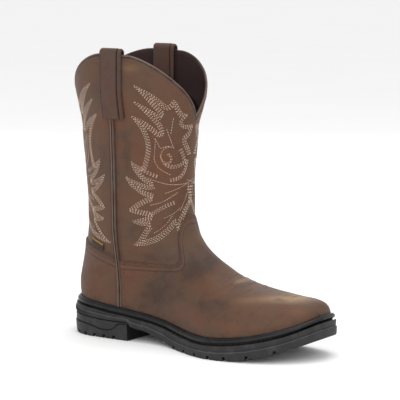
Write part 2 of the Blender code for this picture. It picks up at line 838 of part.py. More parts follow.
def boxes(name, corner_lists):
    """Separate boxes in one mesh, for cutting."""
    faces = []
    for index in range(len(corner_lists)):
        faces += plate_faces(4, index * 8, 2)
    return new_object(name, np.concatenate(corner_lists), faces, None)


def under_at(x):
    """Height of the tread's face: the floor below the heel, and the sole's underside ahead."""
    return 0.0 if x < BREAST_X else float(level_at("underside", x))


def ring_place(offset, x, side):
    """Point and outward direction on a plan ring at a given x."""
    ring = plan_ring(offset)
    half = COLUMNS // 2
    part = ring[: half + 1] if side < 0 else np.roll(ring, half, axis=0)[: half + 1][::-1]
    y = np.interp(x, part[:, 0], part[:, 1])
    before = np.interp(x - DIRECTION_STEP, part[:, 0], part[:, 1])
    beyond = np.interp(x + DIRECTION_STEP, part[:, 0], part[:, 1])
    outward = np.array([before - beyond, 2 * DIRECTION_STEP]) * side
    return np.array([x, y]), outward / np.linalg.norm(outward)


def heel_slot_places():
    """Points and outward directions round the heel, at the pitch of its slots."""
    ring = plan_ring(SOLE_REACH)
    half = COLUMNS // 2
    loop = np.concatenate([ring[half:], ring[:half]])
    loop = loop[loop[:, 0] < BREAST_X + HEEL_SLOT_PITCH]
    along = np.concatenate([[0.0], np.cumsum(np.hypot(*np.diff(loop, axis=0).T))])
    middle = along[-1] / 2
    count = int(middle / HEEL_SLOT_PITCH)
    places = []
    for index in range(-count, count + 1):
        at = middle + index * HEEL_SLOT_PITCH
        near = []
        for place in (at - DIRECTION_STEP, at, at + DIRECTION_STEP):
            near.append(np.array([np.interp(place, along, loop[:, 0]), np.interp(place, along, loop[:, 1])]))
        tangent = (near[2] - near[0]) / np.linalg.norm(near[2] - near[0])
        if near[1][0] < BREAST_X - BREAST_CLEARANCE - SLOT_WIDTH:
            places.append((near[1], np.array([tangent[1], -tangent[0]])))
    return places


def edge_slot(point, outward):
    """Box that cuts a slot in from the tread's edge."""
    centre = point - outward * (SLOT_REACH / 2 - SLOT_OVERRUN)
    under = under_at(centre[0])
    length = SLOT_REACH + SLOT_OVERRUN
    return box_corners(centre, outward, length, SLOT_WIDTH, under - CUT_BELOW, under + SLOT_DEPTH)


def cross_groove(x):
    """Box that cuts a groove across the middle of the tread, between its edge lugs."""
    under = under_at(x)
    outer = float(outline_y(-1, x))
    inner = float(outline_y(1, x))
    length = inner - outer + 2 * (SOLE_REACH - SLOT_REACH)
    centre = (x, (outer + inner) / 2)
    return box_corners(centre, (0.0, 1.0), length, SLOT_WIDTH, under - CUT_BELOW, under + GROOVE_DEPTH)


def tread_slots():
    """Slots between the edge lugs, and grooves across the middle, as one cutting mesh."""
    cuts = [edge_slot(point, outward) for point, outward in heel_slot_places()]
    for x in LUG_SLOTS:
        for side in (-1, 1):
            cuts.append(edge_slot(*ring_place(SOLE_REACH, x, side)))
    cuts += [cross_groove(x) for x in CROSS_GROOVES]
    return boxes("slots", cuts)


def channel_section(point, beside):
    """Four corners of a channel's section at a point of its path."""
    left = point - beside
    right = point + beside
    low = under_at(point[0]) - CUT_BELOW
    high = under_at(point[0]) + CHANNEL_DEPTH
    return [(*left, low), (*right, low), (*right, high), (*left, high)]


def tread_channels():
    """Channels that run along inside the rows of edge lugs, as one cutting mesh."""
    paths = []
    for side in (-1, 1):
        xs = np.linspace(CHANNEL_START_X, CHANNEL_END_X, CHANNEL_STEPS)
        paths.append([ring_place(SOLE_REACH - SLOT_REACH, x, side)[0] for x in xs])
    paths.append([point - outward * SLOT_REACH for point, outward in heel_slot_places()])
    vertices = []
    faces = []
    for path in paths:
        tangent = np.gradient(np.array(path), axis=0)
        tangent /= np.linalg.norm(tangent, axis=1, keepdims=True)
        beside = np.stack([-tangent[:, 1], tangent[:, 0]], axis=1) * GROOVE_WIDTH / 2
        start = len(vertices)
        for point, side_step in zip(path, beside):
            vertices += channel_section(point, side_step)
        faces += tube_faces(len(path), 4, start)
        faces.append((start + 3, start + 2, start + 1, start))
        last = len(vertices) - 4
        faces.append((last, last + 1, last + 2, last + 3))
    return new_object("channels", vertices, faces, None)


def main():
    """Clears the scene and builds every piece."""
    for old in list(bpy.data.objects):
        bpy.data.objects.remove(old)
    leather = make_finish("brown leather", (0.13, 0.068, 0.045), 0.55)
    dark_leather = make_finish("dark leather", (0.1, 0.055, 0.04), 0.55)
    rubber = make_finish("dark rubber", (0.035, 0.035, 0.037), 0.6)
    black_rubber = make_finish("black rubber", (0.012, 0.012, 0.013), 0.45)
    footbed = make_finish("black footbed", (0.02, 0.018, 0.017), 0.9)
    piping = make_finish("grey brown piping", (0.16, 0.12, 0.1), 0.6)
    tab = make_finish("dark tab", (0.05, 0.035, 0.02), 0.5)
    build_upper(leather)
    build_vamp(leather)
    build_counter(leather)
    build_side_tab(tab)
    build_side_seam("side_seam_outer", -1, piping)
    build_side_seam("side_seam_inner", 1, piping)
    build_collar_cord(piping)
    build_strap("pull_strap_outer", -1, dark_leather)
    build_strap("pull_strap_inner", 1, dark_leather)
    build_insole(footbed)
    build_welt(black_rubber)
    build_outsole(rubber)


main()
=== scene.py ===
"""Looks of a pull-on western work boot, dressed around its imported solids.

Lengths are in millimetres on the last: x from the back edge of the outsole to the toe, y to the
inner side of the foot and z up from the floor. Finished meshes are in the frame's metres, whose
origin is on the floor under the middle of the heel.
"""

import logging
import math
from collections.abc import Sequence
from dataclasses import dataclass
from enum import Enum
from typing import Any, NamedTuple

import bpy
import numpy as np
from mathutils import Matrix, Vector


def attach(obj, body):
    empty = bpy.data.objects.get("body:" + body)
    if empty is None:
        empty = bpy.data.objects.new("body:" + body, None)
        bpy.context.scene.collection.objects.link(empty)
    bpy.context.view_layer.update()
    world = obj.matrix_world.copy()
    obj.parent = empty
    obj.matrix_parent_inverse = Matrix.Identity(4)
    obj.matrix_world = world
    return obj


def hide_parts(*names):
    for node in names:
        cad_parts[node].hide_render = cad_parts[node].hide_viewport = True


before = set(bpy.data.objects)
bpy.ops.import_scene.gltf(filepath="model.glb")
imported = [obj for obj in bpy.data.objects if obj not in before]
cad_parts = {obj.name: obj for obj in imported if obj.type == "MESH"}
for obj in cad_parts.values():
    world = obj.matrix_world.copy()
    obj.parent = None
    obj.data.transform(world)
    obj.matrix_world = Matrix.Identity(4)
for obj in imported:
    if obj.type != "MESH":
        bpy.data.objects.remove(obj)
log = logging.getLogger("western_work_boot")
Array = np.ndarray
Piece = bpy.types.Object
Material = bpy.types.Material
Nodes = bpy.types.NodeTree

MM = 0.001
BODY = "root"

# Driving sizes, as in the solids
SOLE_LENGTH = 305.0
HEEL_REST_X = 38.0
BREAST_X = 85.0
SIDE_SEAM_X = 71.5
COLLAR_OUTER_HEIGHT = 304.0
COLLAR_INNER_HEIGHT = 306.0
COLLAR_FRONT_HEIGHT = 241.5
COLLAR_BACK_HEIGHT = 247.0
COLLAR_DIP_SPAN = 76.0
COLLAR_DIP_POWER = {-1: 1.45, 1: 1.65}
CORD_RADIUS = 1.2
GAP = 0.3
CORD_HEIGHT = 2 * CORD_RADIUS + GAP
UPPER_WALL = 2.4
LEATHER = 1.4
WELT_HEIGHT = 6.6
SOLE_REACH = 7.0
TOE_TIP_Y = 12.0
TOE_START_X = 228.0
TOE_TIP_X = SOLE_LENGTH - SOLE_REACH
TOE_POWER = {-1: 1.7, 1: 2.3}
FRONT_LENGTH = 375.0
OUTER = -1
INNER = 1


def rows_of(kind: type, *rows: tuple[float, ...]) -> tuple[Any, ...]:
    """Table whose rows are all of one kind, with that kind's columns."""
    return tuple(kind(*row) for row in rows)


class Outline(NamedTuple):
    """Half widths of the last's outline above the welt, at a place along it."""

    x: float
    outer: float
    inner: float


LAST_OUTLINE = rows_of(
    Outline,
    (0, 29.0, 29.0), (35, 30.0, 30.0), (60, 30.5, 30.0), (85, 30.0, 28.0),
    (108, 28.5, 25.5), (130, 30.5, 26.0), (150, 37.5, 29.5), (170, 47.0, 34.5),
    (188, 55.0, 39.0), (203, 58.5, 42.0), (220, 57.5, 43.5), (235, 55.0, 43.0),
    (305, 52.0, 42.0),
)


class Level(NamedTuple):
    """Heights of the leather's lower line and of the sole's underside, at a place along it."""

    x: float
    leather: float
    underside: float


LEVELS = rows_of(
    Level,
    (0, 41.0, 24.0), (30, 38.6, 21.8), (60, 35.2, 20.0), (85, 32.8, 19.8), (88, 32.4, 16.0),
    (108, 29.8, 12.0), (128, 26.6, 6.0), (142, 24.4, 2.2), (152, 23.1, 0.5),
    (160, 22.4, 0.0), (189, 21.2, 0.0), (208, 21.8, 0.0), (238, 25.2, 2.6),
    (261, 30.0, 7.5), (281, 36.3, 13.9), (293, 42.0, 18.6), (297, 44.2, 20.4),
    (305, 48.0, 24.0),
)


class Back(NamedTuple):
    """Back of the upper in side view, half of its breadth, and how far in it is rounded."""

    z: float
    x: float
    breadth: float
    round: float


BACK = rows_of(
    Back,
    (30, 9.5, 31.0, 31.0), (40, 7.5, 31.0, 31.0), (48, 5.6, 32.0, 33.0),
    (57, 5.0, 33.0, 36.0), (66, 6.2, 34.5, 40.0), (78, 8.7, 36.5, 45.0),
    (92, 11.5, 38.3, 50.0), (110, 13.6, 39.5, 56.0), (128, 14.3, 40.5, 61.0),
    (145, 14.1, 41.1, 62.5), (170, 12.0, 41.9, 63.5), (204, 8.9, 43.6, 66.0),
    (228, 6.7, 44.9, 68.0), (246, 2.8, 48.0, 72.8), (260, -0.6, 50.3, 76.0),
    (272, -2.2, 51.0, 77.6), (320, -2.4, 51.0, 77.8),
)


class Front(NamedTuple):
    """Front of the upper in side view, from the toe's tip up, and how far in it is rounded."""

    x: float
    z: float
    round: float


FRONT = rows_of(
    Front,
    (296.5, 44.6, 2.0), (296.2, 47.0, 4.0), (295.0, 50.0, 7.0), (292.2, 53.0, 10.0),
    (287.5, 55.3, 14.0), (279.0, 57.3, 21.0), (269.0, 58.3, 27.0), (255.0, 60.2, 34.0),
    (240.0, 62.3, 40.0), (225.0, 65.4, 45.0), (210.0, 70.0, 50.0), (195.0, 76.0, 55.0),
    (180.0, 84.2, 59.0), (166.0, 93.0, 61.0), (154.0, 102.8, 61.0), (146.0, 113.5, 61.0),
    (141.3, 126.5, 61.0), (139.0, 144.0, 62.5), (138.9, 166.0, 63.5), (141.3, 204.0, 66.0),
    (143.3, 228.0, 68.0), (149.0, 246.0, 72.8), (152.4, 260.0, 76.0), (153.6, 272.0, 77.4),
    (153.8, 320.0, 77.4),
)


class Ridge(NamedTuple):
    """Line where the body's two sides meet, seen from above."""

    x: float
    y: float


RIDGE = (Ridge(0, 0), Ridge(150, 0), Ridge(200, 1), Ridge(250, 6), Ridge(298, 12), Ridge(305, 12))


class Row(NamedTuple):
    """One ring of the upper: height at the back, run along the front, fall and rise."""

    back: float
    front: float
    fall: float
    rise: float


ROWS = rows_of(
    Row,
    (40.9, 0.0, 1.00, 0.0), (44.0, 3.6, 0.90, 0.0), (47.5, 8.0, 0.80, 0.0),
    (51.0, 13.5, 0.70, 0.0), (54.5, 21.0, 0.60, 0.0), (58.0, 31.0, 0.51, 0.0),
    (61.5, 44.0, 0.42, 0.0), (65.0, 59.0, 0.34, 0.0), (68.5, 75.0, 0.26, 0.0),
    (72.0, 91.0, 0.19, 0.0), (76.0, 107.0, 0.13, 0.0), (80.0, 122.0, 0.08, 0.0),
    (84.5, 136.0, 0.04, 0.0), (89.5, 147.0, 0.01, 0.0), (95.0, 157.5, 0.0, 0.0),
    (101.5, 167.0, 0.0, 0.0), (109.0, 177.0, 0.0, 0.0), (119.0, 189.0, 0.0, 0.02),
    (134.0, 203.0, 0.0, 0.08), (153.0, 219.0, 0.0, 0.18), (173.0, 236.0, 0.0, 0.31),
    (194.0, 252.0, 0.0, 0.46), (213.0, 267.0, 0.0, 0.63), (230.0, 281.0, 0.0, 0.81),
    (COLLAR_BACK_HEIGHT - CORD_HEIGHT, 294.5, 0.0, 1.0),
)
TOP_ROW = float(len(ROWS) - 1)
SHAFT_ROW = 16.0
# Blend of the foot's breadth into the shaft's, and the rounding of the sections
SHAFT_BLEND_FROM = 8.0
SHAFT_BLEND_HEIGHT = 80.0
INSTEP_BLEND_FROM = 135.0
INSTEP_BLEND_LENGTH = 55.0
ROUNDING_POWER = 2.0
TOE_FULLNESS = 0.3
FULLNESS_FROM = 190.0
FULLNESS_LENGTH = 60.0


def curve(xs: Array, ys: Array, at: Any) -> Array:
    """Values of a smooth curve through points that never overshoots them.

    Args:
        xs: rising places of the points.
        ys: values there.
        at: places to read, held within the first and last.

    Returns:
        The curve's value at each place.
    """
    step = np.diff(xs)
    slope = np.diff(ys) / step
    product = slope[:-1] * slope[1:]
    before = 2 * step[1:] + step[:-1]
    after = step[1:] + 2 * step[:-1]
    weighted = before * slope[1:] + after * slope[:-1]
    tangent = np.zeros_like(ys)
    rising = product > 0
    tangent[1:-1][rising] = (before + after)[rising] * product[rising] / weighted[rising]
    tangent[0] = slope[0]
    tangent[-1] = slope[-1]
    at = np.clip(np.asarray(at, dtype=float), xs[0], xs[-1])
    cell = np.clip(np.searchsorted(xs, at, side="right") - 1, 0, len(step) - 1)
    t = (at - xs[cell]) / step[cell]
    line = ys[cell] * (1 + 2 * t) * (1 - t) ** 2 + ys[cell + 1] * t * t * (3 - 2 * t)
    bend = tangent[cell] * (1 - t) - tangent[cell + 1] * t
    return line + step[cell] * t * (1 - t) * bend


def column(table: Sequence[NamedTuple], name: str) -> Array:
    """One named column of a table as an array."""
    return np.array([getattr(row, name) for row in table], dtype=float)


def look_up(table: Sequence[NamedTuple], key: str, name: str, at: Any) -> Array:
    """Smooth value of a table's named column at places along its key column."""
    return curve(column(table, key), column(table, name), at)


def level_at(name: str, x: Any) -> Array:
    """Height of the leather's line or of the sole's underside along the foot."""
    return look_up(LEVELS, "x", name, x)


def front_line(run: Any) -> tuple[Array, Array, Array]:
    """Side-view x, z and rounding at distances along the front of the upper."""
    x = column(FRONT, "x")
    z = column(FRONT, "z")
    along = np.concatenate([[0.0], np.cumsum(np.hypot(np.diff(x), np.diff(z)))])
    return curve(along, x, run), curve(along, z, run), curve(along, column(FRONT, "round"), run)


FRONT_X, FRONT_Z, FRONT_ROUND = front_line(np.linspace(0.0, FRONT_LENGTH, 400))
FRONT_WAY = np.gradient(FRONT_X), np.gradient(FRONT_Z)


def ease(t: Any) -> Array:
    """Smooth step from 0 to 1."""
    t = np.clip(t, 0.0, 1.0)
    return t * t * (3 - 2 * t)


def bump_at(distance: Any, width: float) -> Array:
    """Bell curve of height 1 at no distance, which fades over the width."""
    return np.exp(-((np.asarray(distance) / width) ** 2))


class Bump(NamedTuple):
    """Soft swelling or line of tone: its height or strength, and its width."""

    height: float
    width: float

    def at(self, distance: Any) -> Array:
        """Its height at distances from its middle."""
        return self.height * bump_at(distance, self.width)


def round_off(depth: Array, power: Any) -> Array:
    """Share of the full width at a depth inside an edge."""
    inside = 1 - np.clip(depth, 0.0, 1.0)
    return (1 - inside**power) ** (1 / power)


def outline_y(side: int, x: Array) -> Array:
    """y of the last's outline just above the welt, on one side."""
    edge = side * look_up(LAST_OUTLINE, "x", "outer" if side < 0 else "inner", x)
    toe = np.clip((x - TOE_START_X) / (TOE_TIP_X - TOE_START_X), 0.0, 1.0)
    return TOE_TIP_Y + (edge - TOE_TIP_Y) * np.sqrt(1 - toe ** TOE_POWER[side])


def front_depth(x: Array, z: Array) -> Array:
    """Depth behind the front line, in shares of the rounding there.

    Args:
        x: places along the foot.
        z: heights.

    Returns:
        The depth at each place.
    """
    flat_x = x.ravel()
    flat_z = z.ravel()
    depth = np.empty(len(flat_x))
    block = 20000
    for start in range(0, len(flat_x), block):
        part = slice(start, start + block)
        away_x = np.subtract.outer(flat_x[part], FRONT_X)
        away_z = np.subtract.outer(flat_z[part], FRONT_Z)
        near = np.argmin(np.hypot(away_x, away_z) / FRONT_ROUND, axis=-1)
        at = np.arange(len(near))
        way_x, way_z = FRONT_WAY[0][near], FRONT_WAY[1][near]
        across = np.abs(away_x[at, near] * way_z - away_z[at, near] * way_x) / np.hypot(way_x, way_z)
        depth[part] = across / FRONT_ROUND[near]
    return depth.reshape(x.shape)


def half_width(side: int, x: Array, z: Array) -> Array:
    """Distance from the ridge line to the body's surface.

    Args:
        side: OUTER or INNER.
        x: places along the foot.
        z: heights.

    Returns:
        The distance at each place.
    """
    ridge = look_up(RIDGE, "x", "y", x)
    foot = np.maximum(side * (outline_y(side, x) - ridge), 0.0)
    breadth = look_up(BACK, "z", "breadth", z)
    rise = ease((z - level_at("leather", x) - SHAFT_BLEND_FROM) / SHAFT_BLEND_HEIGHT)
    to_shaft = rise * (1 - ease((x - INSTEP_BLEND_FROM) / INSTEP_BLEND_LENGTH))
    full = foot + (breadth - foot) * to_shaft
    power = ROUNDING_POWER + TOE_FULLNESS * ease((x - FULLNESS_FROM) / FULLNESS_LENGTH)
    behind = (x - look_up(BACK, "z", "x", z)) / look_up(BACK, "z", "round", z)
    return full * round_off(front_depth(x, z), power) * round_off(behind, ROUNDING_POWER)


def both_sides(outer: Array, x: Array, z: Array) -> Array:
    """y of the surface at side-view places, each on its own side.

    Args:
        outer: whether each place is on the outer side.
        x: places along the foot.
        z: heights.

    Returns:
        The y at each place.
    """
    y = np.empty(x.shape)
    y[outer] = -half_width(OUTER, x[outer], z[outer])
    y[~outer] = half_width(INNER, x[~outer], z[~outer])
    return y + look_up(RIDGE, "x", "y", x)


def collar_rise(angle: Array) -> Array:
    """Height of the collar's line above its level at front and back, at angles from the back.

    Args:
        angle: angles in radians, by the outer side.

    Returns:
        The height at each angle.
    """
    outer = np.sin(angle) >= 0
    top = np.where(outer, COLLAR_OUTER_HEIGHT, COLLAR_INNER_HEIGHT)
    power = np.where(outer, COLLAR_DIP_POWER[OUTER], COLLAR_DIP_POWER[INNER])
    turned = np.mod(angle, 2 * np.pi)
    from_back = np.degrees(np.minimum(turned, 2 * np.pi - turned))
    dip_back = np.clip(1 - from_back / COLLAR_DIP_SPAN, 0, 1) ** power
    dip_front = np.clip(1 - (180 - from_back) / COLLAR_DIP_SPAN, 0, 1) ** power
    along = (1 - np.cos(angle)) / 2
    level = COLLAR_BACK_HEIGHT + (COLLAR_FRONT_HEIGHT - COLLAR_BACK_HEIGHT) * along
    height = top - (top - COLLAR_BACK_HEIGHT) * dip_back - (top - COLLAR_FRONT_HEIGHT) * dip_front
    return height - level


def body(angle: Any, row: Any) -> Array:
    """Points of the boot's body.

    Args:
        angle: turn from the back by the outer side, in radians.
        row: place up the rows of the upper, 0 at the welt.

    Returns:
        Points in millimetres, with the shape of the inputs and three coordinates.
    """
    angle, row = np.broadcast_arrays(np.asarray(angle, float), np.asarray(row, float))
    index = np.arange(len(ROWS), dtype=float)
    back, front, fall, rise = (curve(index, column(ROWS, name), row) for name in Row._fields)
    along = (1 - np.cos(angle)) / 2
    front_x, front_z, _ = front_line(front)
    back_x = look_up(BACK, "z", "x", back)
    x = back_x + (front_x - back_x) * along
    heel = level_at("leather", back_x)
    toe = level_at("leather", front_x)
    sag = level_at("leather", x) - heel - (toe - heel) * along
    z = back + (front_z - back) * along + sag * fall + collar_rise(angle) * rise
    shaft_back = look_up(BACK, "z", "x", z)
    shaft_x = shaft_back + (np.interp(z, FRONT_Z, FRONT_X) - shaft_back) * along
    x = x + (shaft_x - x) * ease(row - SHAFT_ROW)
    return np.stack([x, both_sides(np.sin(angle) >= 0, x, z), z], axis=-1)


def body_with_normals(angle: Any, row: Any) -> tuple[Array, Array]:
    """Points of the body and its outward normals there.

    Args:
        angle: turn from the back by the outer side, in radians.
        row: place up the rows of the upper.

    Returns:
        The points and the normals.
    """
    step = 0.004
    rows = 0.03
    around = body(np.asarray(angle) + step, row) - body(np.asarray(angle) - step, row)
    upward = body(angle, np.asarray(row) + rows) - body(angle, np.asarray(row) - rows)
    normal = np.cross(around, upward)
    normal /= np.linalg.norm(normal, axis=-1, keepdims=True)
    return body(angle, row), normal


def wall_point(side: int, x: Any, z: Any, out: Any) -> Array:
    """Points a given distance outside the body's surface, at side-view places on one side.

    Args:
        side: OUTER or INNER.
        x: places along the foot.
        z: heights.
        out: distances outside the surface.

    Returns:
        The points.
    """
    x, z, out = (np.array(part, float) for part in np.broadcast_arrays(x, z, out))
    step = 0.5
    slope_x = (half_width(side, x + step, z) - half_width(side, x - step, z)) / (2 * step)
    slope_z = (half_width(side, x, z + step) - half_width(side, x, z - step)) / (2 * step)
    normal = np.stack([-slope_x, np.full_like(slope_x, side), -slope_z], axis=-1)
    normal /= np.linalg.norm(normal, axis=-1, keepdims=True)
    y = look_up(RIDGE, "x", "y", x) + side * half_width(side, x, z)
    return np.stack([x, y, z], axis=-1) + normal * out[..., None]


def locate(targets: Any) -> tuple[Array, Array]:
    """Angle and row of the body's points nearest to given places.

    Args:
        targets: rows of x, y and z.

    Returns:
        The angles and the rows.
    """
    targets = np.asarray(targets, float)
    angles = np.linspace(0, 2 * np.pi, 181)
    rows = np.linspace(0, TOP_ROW, 97)
    grid = body(angles[None, :], rows[:, None])
    found = []
    for target in targets:
        nearest = np.argmin(((grid - target) ** 2).sum(axis=-1))
        found.append((angles[nearest % 181], rows[nearest // 181]))
    angle, row = np.array(found).T
    step = 0.004
    for _ in range(4):
        here = body(angle, row)
        by_angle = (body(angle + step, row) - here) / step
        by_row = (body(angle, np.minimum(row + step, TOP_ROW)) - here) / step
        for index, target in enumerate(targets):
            slopes = np.stack([by_angle[index], by_row[index]], axis=1)
            change = np.linalg.lstsq(slopes, target - here[index], rcond=None)[0]
            angle[index] += np.clip(change[0], -0.2, 0.2)
            row[index] = np.clip(row[index] + np.clip(change[1], -0.5, 0.5), 0, TOP_ROW)
    return angle, row


def welt_ring(offset: float, angles: Array) -> Array:
    """Plan of the line above the welt, moved outward: x and y at angles round the boot.

    Args:
        offset: how far it is moved.
        angles: turns from the back by the outer side.

    Returns:
        A row of x and y for each angle.
    """
    step = 0.01
    ring = body(angles, 0.0)
    tangent = body(angles + step, 0.0) - body(angles - step, 0.0)
    outward = np.stack([tangent[:, 1], -tangent[:, 0]], axis=1)
    outward /= np.linalg.norm(outward, axis=1, keepdims=True)
    return ring[:, :2] + outward * offset


# Creases and soft hollows of the leather


class Crease(NamedTuple):
    """Soft trough, or ridge where its depth is negative, along a line in side view."""

    start: tuple[float, float]
    end: tuple[float, float]
    width: float
    depth: float


CREASES = (
    Crease((118, 92), (150, 118), 9, 0.9),
    Crease((96, 108), (136, 128), 8, 0.7),
    Crease((108, 101), (146, 109), 5, -0.5),
    Crease((20, 118), (52, 108), 8, 0.6),
    Crease((18, 140), (48, 150), 12, 0.5),
    Crease((95, 70), (140, 60), 14, 0.7),
    Crease((170, 60), (196, 72), 7, 0.6),
    Crease((184, 48), (212, 62), 6, 0.5),
    Crease((200, 40), (228, 55), 6, -0.5),
    Crease((232, 40), (262, 50), 8, 0.5),
    Crease((100, 180), (104, 232), 14, 0.7),
    Crease((45, 170), (42, 240), 12, 0.6),
    Crease((88, 150), (92, 200), 8, -0.5),
)
SEAM_CALM = 7.0


def relief(points: Array) -> Array:
    """Height of the worn leather's soft ridges and troughs over the body's surface.

    Args:
        points: places on the body, in millimetres.

    Returns:
        The height at each place, in millimetres.
    """
    x = points[..., 0]
    z = points[..., 2]
    height = np.zeros(x.shape)
    for crease in CREASES:
        start = np.array(crease.start)
        along = np.array(crease.end) - start
        length = np.hypot(*along)
        away_x = x - start[0]
        away_z = z - start[1]
        share = (away_x * along[0] + away_z * along[1]) / length**2
        held = np.clip(share, 0.0, 1.0)
        distance = np.hypot(away_x - held * along[0], away_z - held * along[1])
        height -= crease.depth * bump_at(distance, crease.width)
    calm = 1 - bump_at(x - SIDE_SEAM_X, SEAM_CALM)
    return height * calm * ease((z - level_at("leather", x)) / 12.0)


def skin(angle: Any, row: Any, out: Any = 0.0) -> Array:
    """Points over the worn body at a distance outside it."""
    points, normals = body_with_normals(angle, row)
    return points + normals * (relief(points) + out)[..., None]


class Tone(Enum):
    """What a smudge does to the leather's colour."""

    DARK = "dark"
    RED = "red"
    PALE = "pale"


class Smudge(NamedTuple):
    """Soft patch of tone in side view, with its half sizes."""

    x: float
    z: float
    length: float
    height: float
    strength: float
    tone: Tone


FOOT_SMUDGES = (
    Smudge(163, 86, 19, 15, 1.05, Tone.DARK),
    Smudge(130, 64, 28, 15, 0.85, Tone.DARK),
    Smudge(112, 46, 18, 14, 0.75, Tone.DARK),
    Smudge(188, 50, 20, 8, 0.60, Tone.DARK),
    Smudge(14, 74, 14, 22, 0.50, Tone.DARK),
    Smudge(205, 56, 12, 5, 0.50, Tone.DARK),
    Smudge(256, 41, 12, 5, 0.45, Tone.DARK),
    Smudge(40, 70, 20, 12, 0.35, Tone.DARK),
    Smudge(222, 44, 34, 8, 0.35, Tone.DARK),
    Smudge(249, 62.2, 5, 0.5, 0.6, Tone.DARK),
    Smudge(257, 61.4, 3, 0.4, 0.5, Tone.DARK),
    Smudge(264, 60.5, 3, 0.4, 0.5, Tone.DARK),
    Smudge(257, 59.2, 8, 1.5, 0.5, Tone.DARK),
    Smudge(215, 68.6, 5, 1.8, 0.7, Tone.DARK),
    Smudge(207, 72.6, 5, 2.2, 0.55, Tone.PALE),
    # The next two pale patches, along the toe's top and at its tip, are painted highlight and partly the
    # leather's own lighter pull-up.
    Smudge(264, 60.0, 24, 3.4, 0.72, Tone.PALE),
    Smudge(284, 50, 12, 6, 0.22, Tone.PALE),
    Smudge(228, 58, 16, 5, 0.22, Tone.PALE),
    Smudge(152, 116, 10, 14, 0.22, Tone.PALE),
    Smudge(6, 58, 7, 16, 0.20, Tone.PALE),
    Smudge(222, 67.5, 5, 2, 0.7, Tone.RED),
    Smudge(276, 53, 14, 4, 0.5, Tone.RED),
    Smudge(240, 36, 30, 8, 0.32, Tone.RED),
    Smudge(170, 38, 26, 10, 0.45, Tone.RED),
    Smudge(92, 60, 20, 20, 0.35, Tone.RED),
    Smudge(36, 60, 16, 14, 0.18, Tone.RED),
)
SHAFT_SMUDGES = (
    Smudge(88, 200, 7, 34, 0.55, Tone.DARK),
    Smudge(56, 182, 10, 30, 0.40, Tone.DARK),
    Smudge(96, 118, 16, 12, 0.35, Tone.DARK),
    Smudge(50, 262, 14, 10, 0.30, Tone.DARK),
    Smudge(110, 268, 18, 7, 0.30, Tone.DARK),
    Smudge(0, 200, 9, 60, 0.60, Tone.DARK),
    Smudge(72, 229, 16, 9, 0.75, Tone.RED),
    Smudge(30, 270, 16, 14, 0.40, Tone.RED),
    Smudge(86, 160, 10, 20, 0.35, Tone.RED),
    Smudge(122, 190, 20, 46, 0.50, Tone.RED),
    Smudge(96, 288, 16, 6, 0.30, Tone.PALE),
    Smudge(44, 150, 12, 18, 0.16, Tone.PALE),
    Smudge(90, 262, 12, 14, 0.16, Tone.PALE),
)


def tone_fields(points: Array, smudges: Sequence[Smudge]) -> dict[str, Array]:
    """How dark, red and pale the leather is at each point.

    Args:
        points: places in millimetres.
        smudges: the patches that it has.

    Returns:
        A field for each tone.
    """
    fields = {tone.value: np.zeros(points.shape[:-1]) for tone in Tone}
    for smudge in smudges:
        away_x = (points[..., 0] - smudge.x) / smudge.length
        away_z = (points[..., 2] - smudge.z) / smudge.height
        fields[smudge.tone.value] += smudge.strength * bump_at(np.hypot(away_x, away_z), 1.0)
    return fields


# Meshes and objects


def in_frame(points: Array) -> Array:
    """Millimetres on the last as metres in the frame."""
    return (np.asarray(points, float) - (HEEL_REST_X, 0.0, 0.0)) * MM


def grid_quads(rows: int, columns: int, closed: bool = True) -> list[tuple[int, ...]]:
    """Faces of a grid of points whose columns go round, seen from outside.

    Args:
        rows: how many rows of points there are.
        columns: how many points a row has.
        closed: whether the last column joins the first.

    Returns:
        The corners of each face.
    """
    row = np.arange(rows - 1)[:, None]
    col = np.arange(columns if closed else columns - 1)[None, :]
    after = (col + 1) % columns
    low = row * columns
    corners = np.broadcast_arrays(low + col, low + after, low + columns + after, low + columns + col)
    return [tuple(face) for face in np.stack(corners, axis=-1).reshape(-1, 4).tolist()]


def add_object(
    name: str,
    points: Array,
    faces: Sequence[tuple[int, ...]],
    finish: Material,
    fields: dict[str, Array] | None = None,
    sharp: float | None = None,
) -> Piece:
    """Object from points on the last and faces.

    Args:
        name: name of the piece.
        points: its points in millimetres.
        faces: corners of each face.
        finish: material of the piece.
        fields: numbers for each point that the material reads.
        sharp: angle in degrees past which an edge is sharp.

    Returns:
        The object, at the frame's origin.
    """
    mesh = bpy.data.meshes.new(name)
    mesh.from_pydata(in_frame(points.reshape(-1, 3)).tolist(), [], faces)
    for field_name, values in (fields or {}).items():
        field = mesh.attributes.new(field_name, "FLOAT", "POINT")
        field.data.foreach_set("value", np.asarray(values, np.float32).ravel())
    mesh.polygons.foreach_set("use_smooth", [True] * len(mesh.polygons))
    if sharp is not None:
        mesh.set_sharp_from_angle(angle=math.radians(sharp))
    mesh.materials.append(finish)
    made = bpy.data.objects.new(name, mesh)
    bpy.context.scene.collection.objects.link(made)
    return made


def seat(piece: Piece, slot: str, *nodes: str) -> Piece:
    """Puts a finished piece on the body, in place of the named nodes.

    Args:
        piece: the object.
        slot: name of a material slot, which is not used.
        nodes: the solids that it stands for.

    Returns:
        The piece.
    """
    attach(piece, BODY)
    if nodes:
        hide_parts(*nodes)
    piece.data.calc_loop_triangles()
    log.info("%s: %d triangles", piece.name, len(piece.data.loop_triangles))
    return piece


def flat_evaluated(made: Piece) -> None:
    """Turns what the object's modifiers give into its own plain mesh."""
    graph = bpy.context.evaluated_depsgraph_get()
    mesh = bpy.data.meshes.new_from_object(made.evaluated_get(graph))
    made.modifiers.clear()
    old = made.data
    made.data = mesh
    bpy.data.meshes.remove(old)


# Shader expressions


